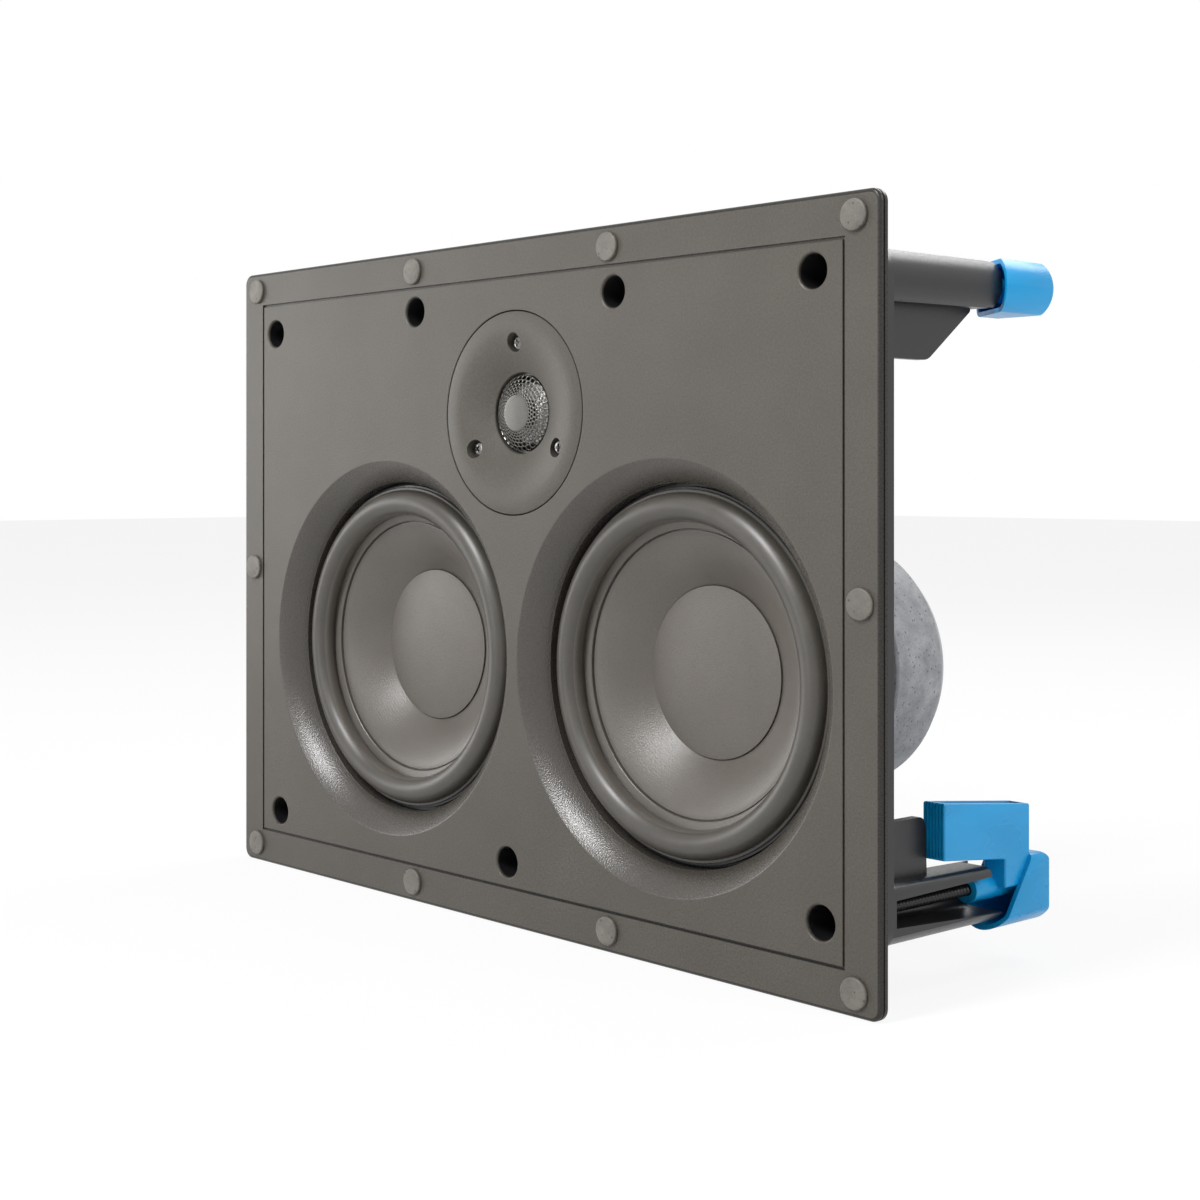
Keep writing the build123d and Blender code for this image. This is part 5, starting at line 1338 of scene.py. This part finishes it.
class SPEAKER_OT_motors(bpy.types.Operator):
    """Finishes the baskets, magnets, plates, spiders and terminals of the three drivers"""
    bl_idname = "speaker.motors"
    bl_label = "Driver frames and motors"

    def execute(self, context):
        for side in SIDES:
            x, z = middle_of(f"{side}_woofer_magnet")

            def on_tag(centre, normal):
                return 1 if centre.x > x + 44.02 * MM or abs(centre.z - z) > 13.05 * MM else 0

            def on_winding(centre, normal):
                radius = math.hypot(centre.x - x, centre.z - z)
                return 1 if centre.y > 54.8 * MM and radius > 13.3 * MM else 0

            parts = [
                ("basket", 0.3, ["basket"], None, "basket"),
                ("gasket", 0.0, ["foam"], None, "foam"),
                ("spider", 0.0, ["spider"], None, "spider_cloth"),
                ("top_plate", 0.3, ["plated"], None, "plated_steel"),
                ("magnet", 0.25, ["ferrite"], None, "ferrite"),
                ("back_plate", 0.3, ["plated"], None, "plated_steel"),
                ("terminals", 0.12, ["tag_board", "tin"], on_tag, "tag_board"),
            ]
            for part, bevel, names, pick, slot in parts:
                node_name = f"{side}_woofer_{part}"
                made = finished_copy(node_name, f"{side}_{part}", bevel, names, pick)
                piece(made, "frame", slot, node_name)
            node_name = f"{side}_woofer_voice_coil"
            made = finished_copy(node_name, f"{side}_voice_coil", 0.0, ["former", "copper"], on_winding)
            piece(made, f"{side}_cone_assembly", "former", node_name)
            self.screws(side, x, z)
        for part, bevel, key, slot in (
            ("top_plate", 0.2, "plated", "plated_steel"), ("magnet", 0.2, "ferrite", "ferrite"),
            ("back_plate", 0.2, "plated", "plated_steel"), ("rear_chamber", 0.2, "terminal", "chamber"),
            ("surround", 0.0, "foam", "foam"),
        ):
            made = finished_copy(f"tweeter_{part}", f"Tweeter_{part}", bevel, [key])
            piece(made, "frame", slot, f"tweeter_{part}")
        made = finished_copy("tweeter_dome", "Tweeter_dome", 0.0, ["dome"])
        piece(made, "tweeter_diaphragm", "dome", "tweeter_dome")
        return {"FINISHED"}

    def screws(self, side, x, z):
        """Four pan-head screws on the basket's rim, with their heads behind it."""
        source = screw_mesh("Basket screw", 3.1, 2.0, 1.75, 9.8, 3.4)
        source.data.transform(Matrix.Rotation(math.pi, 4, "Z"))
        source.data.transform(Matrix.Translation((0, 13.8 * MM, 0)))
        made = ring_of(source, f"{side}_basket_screws", (x, z), 4, WOOFER_SCREW_CIRCLE, 45, 0.6, "black_steel")
        piece(made, "frame", "black_steel", f"{side}_woofer_screws")


class SPEAKER_OT_crossover(bpy.types.Operator):
    """Finishes the crossover board, its parts and the wire terminals"""
    bl_idname = "speaker.crossover"
    bl_label = "Crossover and terminals"

    def execute(self, context):
        for part in ("large_coil", "small_coil"):
            node_name = f"crossover_{part}"
            x, z = middle_of(node_name)
            low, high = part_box(node_name)
            outer = (high.x - low.x) / 2

            def on_winding(centre, normal):
                radius = math.hypot(centre.x - x, centre.z - z)
                inside = low.y + 1.3 * MM < centre.y < high.y - 1.3 * MM
                return 1 if inside and outer * 0.7 < radius < outer - 0.4 * MM else 0

            made = finished_copy(node_name, f"Crossover_{part}", 0.2, ["bobbin", "copper"], on_winding)
            piece(made, "frame", "copper", node_name)
        rows = [
            ("crossover_board", 0.1, "board", "circuit_board", "frame"),
            ("crossover_screws", 0.15, "bright", "bright_steel", "frame"),
            ("crossover_large_capacitor", 0.3, "capacitor", "capacitor", "frame"),
            ("crossover_small_capacitor", 0.3, "capacitor", "capacitor", "frame"),
            ("crossover_resistor", 0.3, "resistor", "resistor", "frame"),
            ("terminal_block", 0.3, "terminal", "terminal", "frame"),
            ("terminal_button_red", 0.2, "red", "red", "red_button"),
            ("terminal_button_black", 0.2, "black_button", "terminal", "black_button"),
        ]
        for node_name, bevel, key, slot, body in rows:
            made = finished_copy(node_name, f"Dressed_{node_name}", bevel, [key])
            piece(made, body, slot, node_name)
        return {"FINISHED"}


def seen_white(tree, strength):
    """Strength 1 where the camera, a reflection or glass sees it, and another strength for light."""
    path = tree.nodes.new("ShaderNodeLightPath").outputs
    seen = calc(tree, "MAXIMUM", path["Is Camera Ray"], path["Is Glossy Ray"])
    seen = calc(tree, "MAXIMUM", seen, path["Is Transmission Ray"])
    return seen, calc(tree, "ADD", calc(tree, "MULTIPLY", seen, 1.0 - strength), strength)


class SPEAKER_OT_stage(bpy.types.Operator):
    """Adds the floor, the soft lights and the camera"""
    bl_idname = "speaker.stage"
    bl_label = "Stage"

    def execute(self, context):
        scene = context.scene
        stage = scene.speaker_stage
        world = scene.world or bpy.data.worlds.new("Studio")
        scene.world = world
        world.use_nodes = True
        tree = world.node_tree
        background = tree.nodes["Background"]
        background.inputs["Color"].default_value = (1, 1, 1, 1)
        tree.links.new(seen_white(tree, stage.surroundings)[1], background.inputs["Strength"])

        low = -scene.speaker_baffle.height / 2
        mesh = bpy.data.meshes.new("Floor")
        mesh.from_pydata([(-6, -6, low), (6, -6, low), (6, 6, low), (-6, 6, low)], [], [(0, 1, 2, 3)])
        floor = new_object("Floor", mesh)
        material = bpy.data.materials.new("Pale floor")
        material.use_nodes = True
        tree = material.node_tree
        shader = tree.nodes["Principled BSDF"]
        shader.inputs["Base Color"].default_value = (0.9, 0.9, 0.9, 1)
        shader.inputs["Roughness"].default_value = 0.9
        glow = tree.nodes.new("ShaderNodeEmission")
        mix = tree.nodes.new("ShaderNodeMixShader")
        seen = seen_white(tree, 0.0)[0]
        tree.links.new(calc(tree, "MULTIPLY", seen, 0.88), mix.inputs["Fac"])
        tree.links.new(shader.outputs[0], mix.inputs[1])
        tree.links.new(glow.outputs[0], mix.inputs[2])
        tree.links.new(mix.outputs[0], tree.nodes["Material Output"].inputs["Surface"])
        mesh.materials.append(material)

        lamps = (
            ("Key", stage.key_power, (0.04, -1.1, 1.17), (0.32, 0.75)),
            ("Left", stage.left_power, (-1.5, -0.72, -0.15), (0.8, 1.3)),
            ("Front", stage.front_power, (-0.3, -1.5, 0.05), (0.25, 1.4)),
            ("Side", stage.side_power, (1.35, 0.3, 0.75), (0.8, 0.8)),
            ("Rim", stage.rim_power, (0.05, 0.95, 1.05), (0.9, 0.6)),
        )
        for name, power, place, size in lamps:
            lamp = bpy.data.lights.new(name, "AREA")
            lamp.shape = "RECTANGLE"
            lamp.size, lamp.size_y = size
            lamp.energy = power
            made = bpy.data.objects.new(name, lamp)
            made.location = place
            made.rotation_euler = (-Vector(place)).to_track_quat("-Z", "Y").to_euler()
            scene.collection.objects.link(made)

        data = bpy.data.cameras.new("Camera")
        data.sensor_width = 36.0
        data.lens = stage.lens
        data.shift_x = (PHOTO_SIDE / 2 - MIDDLE_X) / PHOTO_SIDE
        data.shift_y = (HORIZON_Y - PHOTO_SIDE / 2) / PHOTO_SIDE
        data.clip_start = 0.01
        camera = bpy.data.objects.new("Camera", data)
        turn = stage.camera_turn
        out = Vector((math.sin(turn), -math.cos(turn), 0))
        right = Vector((math.cos(turn), math.sin(turn), 0))
        camera.location = out * stage.camera_distance - right * stage.camera_offset
        camera.location.z = stage.camera_height
        camera.rotation_euler = (math.pi / 2, 0, turn)
        scene.collection.objects.link(camera)
        scene.camera = camera
        scene.view_settings.view_transform = "Standard"
        return {"FINISHED"}


STEPS = (
    SPEAKER_OT_baffle,
    SPEAKER_OT_grille_magnets,
    SPEAKER_OT_woofers,
    SPEAKER_OT_tweeter,
    SPEAKER_OT_clamps,
    SPEAKER_OT_motors,
    SPEAKER_OT_crossover,
    SPEAKER_OT_stage,
)


class SPEAKER_PT_panel(bpy.types.Panel):
    """Sizes, colours and steps of the speaker"""
    bl_label = "In wall speaker"
    bl_idname = "SPEAKER_PT_panel"
    bl_space_type = "VIEW_3D"
    bl_region_type = "UI"
    bl_category = "Speaker"

    def draw(self, context):
        for name in GROUPS:
            group = getattr(context.scene, name)
            box = self.layout.box()
            for key in group.bl_rna.properties.keys():
                if key not in ("rna_type", "name"):
                    box.prop(group, key)
        for step in STEPS:
            self.layout.operator(step.bl_idname)


GROUPS = {
    "speaker_baffle": SpeakerBaffleSizes,
    "speaker_drivers": SpeakerDriverSizes,
    "speaker_clamps": SpeakerClampSizes,
    "speaker_colours": SpeakerColours,
    "speaker_stage": SpeakerStage,
}
FINISHES = {}


def register():
    for name, group in GROUPS.items():
        bpy.utils.register_class(group)
        setattr(bpy.types.Scene, name, PointerProperty(type=group))
    for step in STEPS:
        bpy.utils.register_class(step)
    bpy.utils.register_class(SPEAKER_PT_panel)


def unregister():
    bpy.utils.unregister_class(SPEAKER_PT_panel)
    for step in reversed(STEPS):
        bpy.utils.unregister_class(step)
    for name, group in GROUPS.items():
        delattr(bpy.types.Scene, name)
        bpy.utils.unregister_class(group)


def main():
    register()
    FINISHES.update(make_finishes())
    for step in STEPS:
        group, name = step.bl_idname.split(".")
        getattr(getattr(bpy.ops, group), name)()


if __name__ == "__main__":
    main()
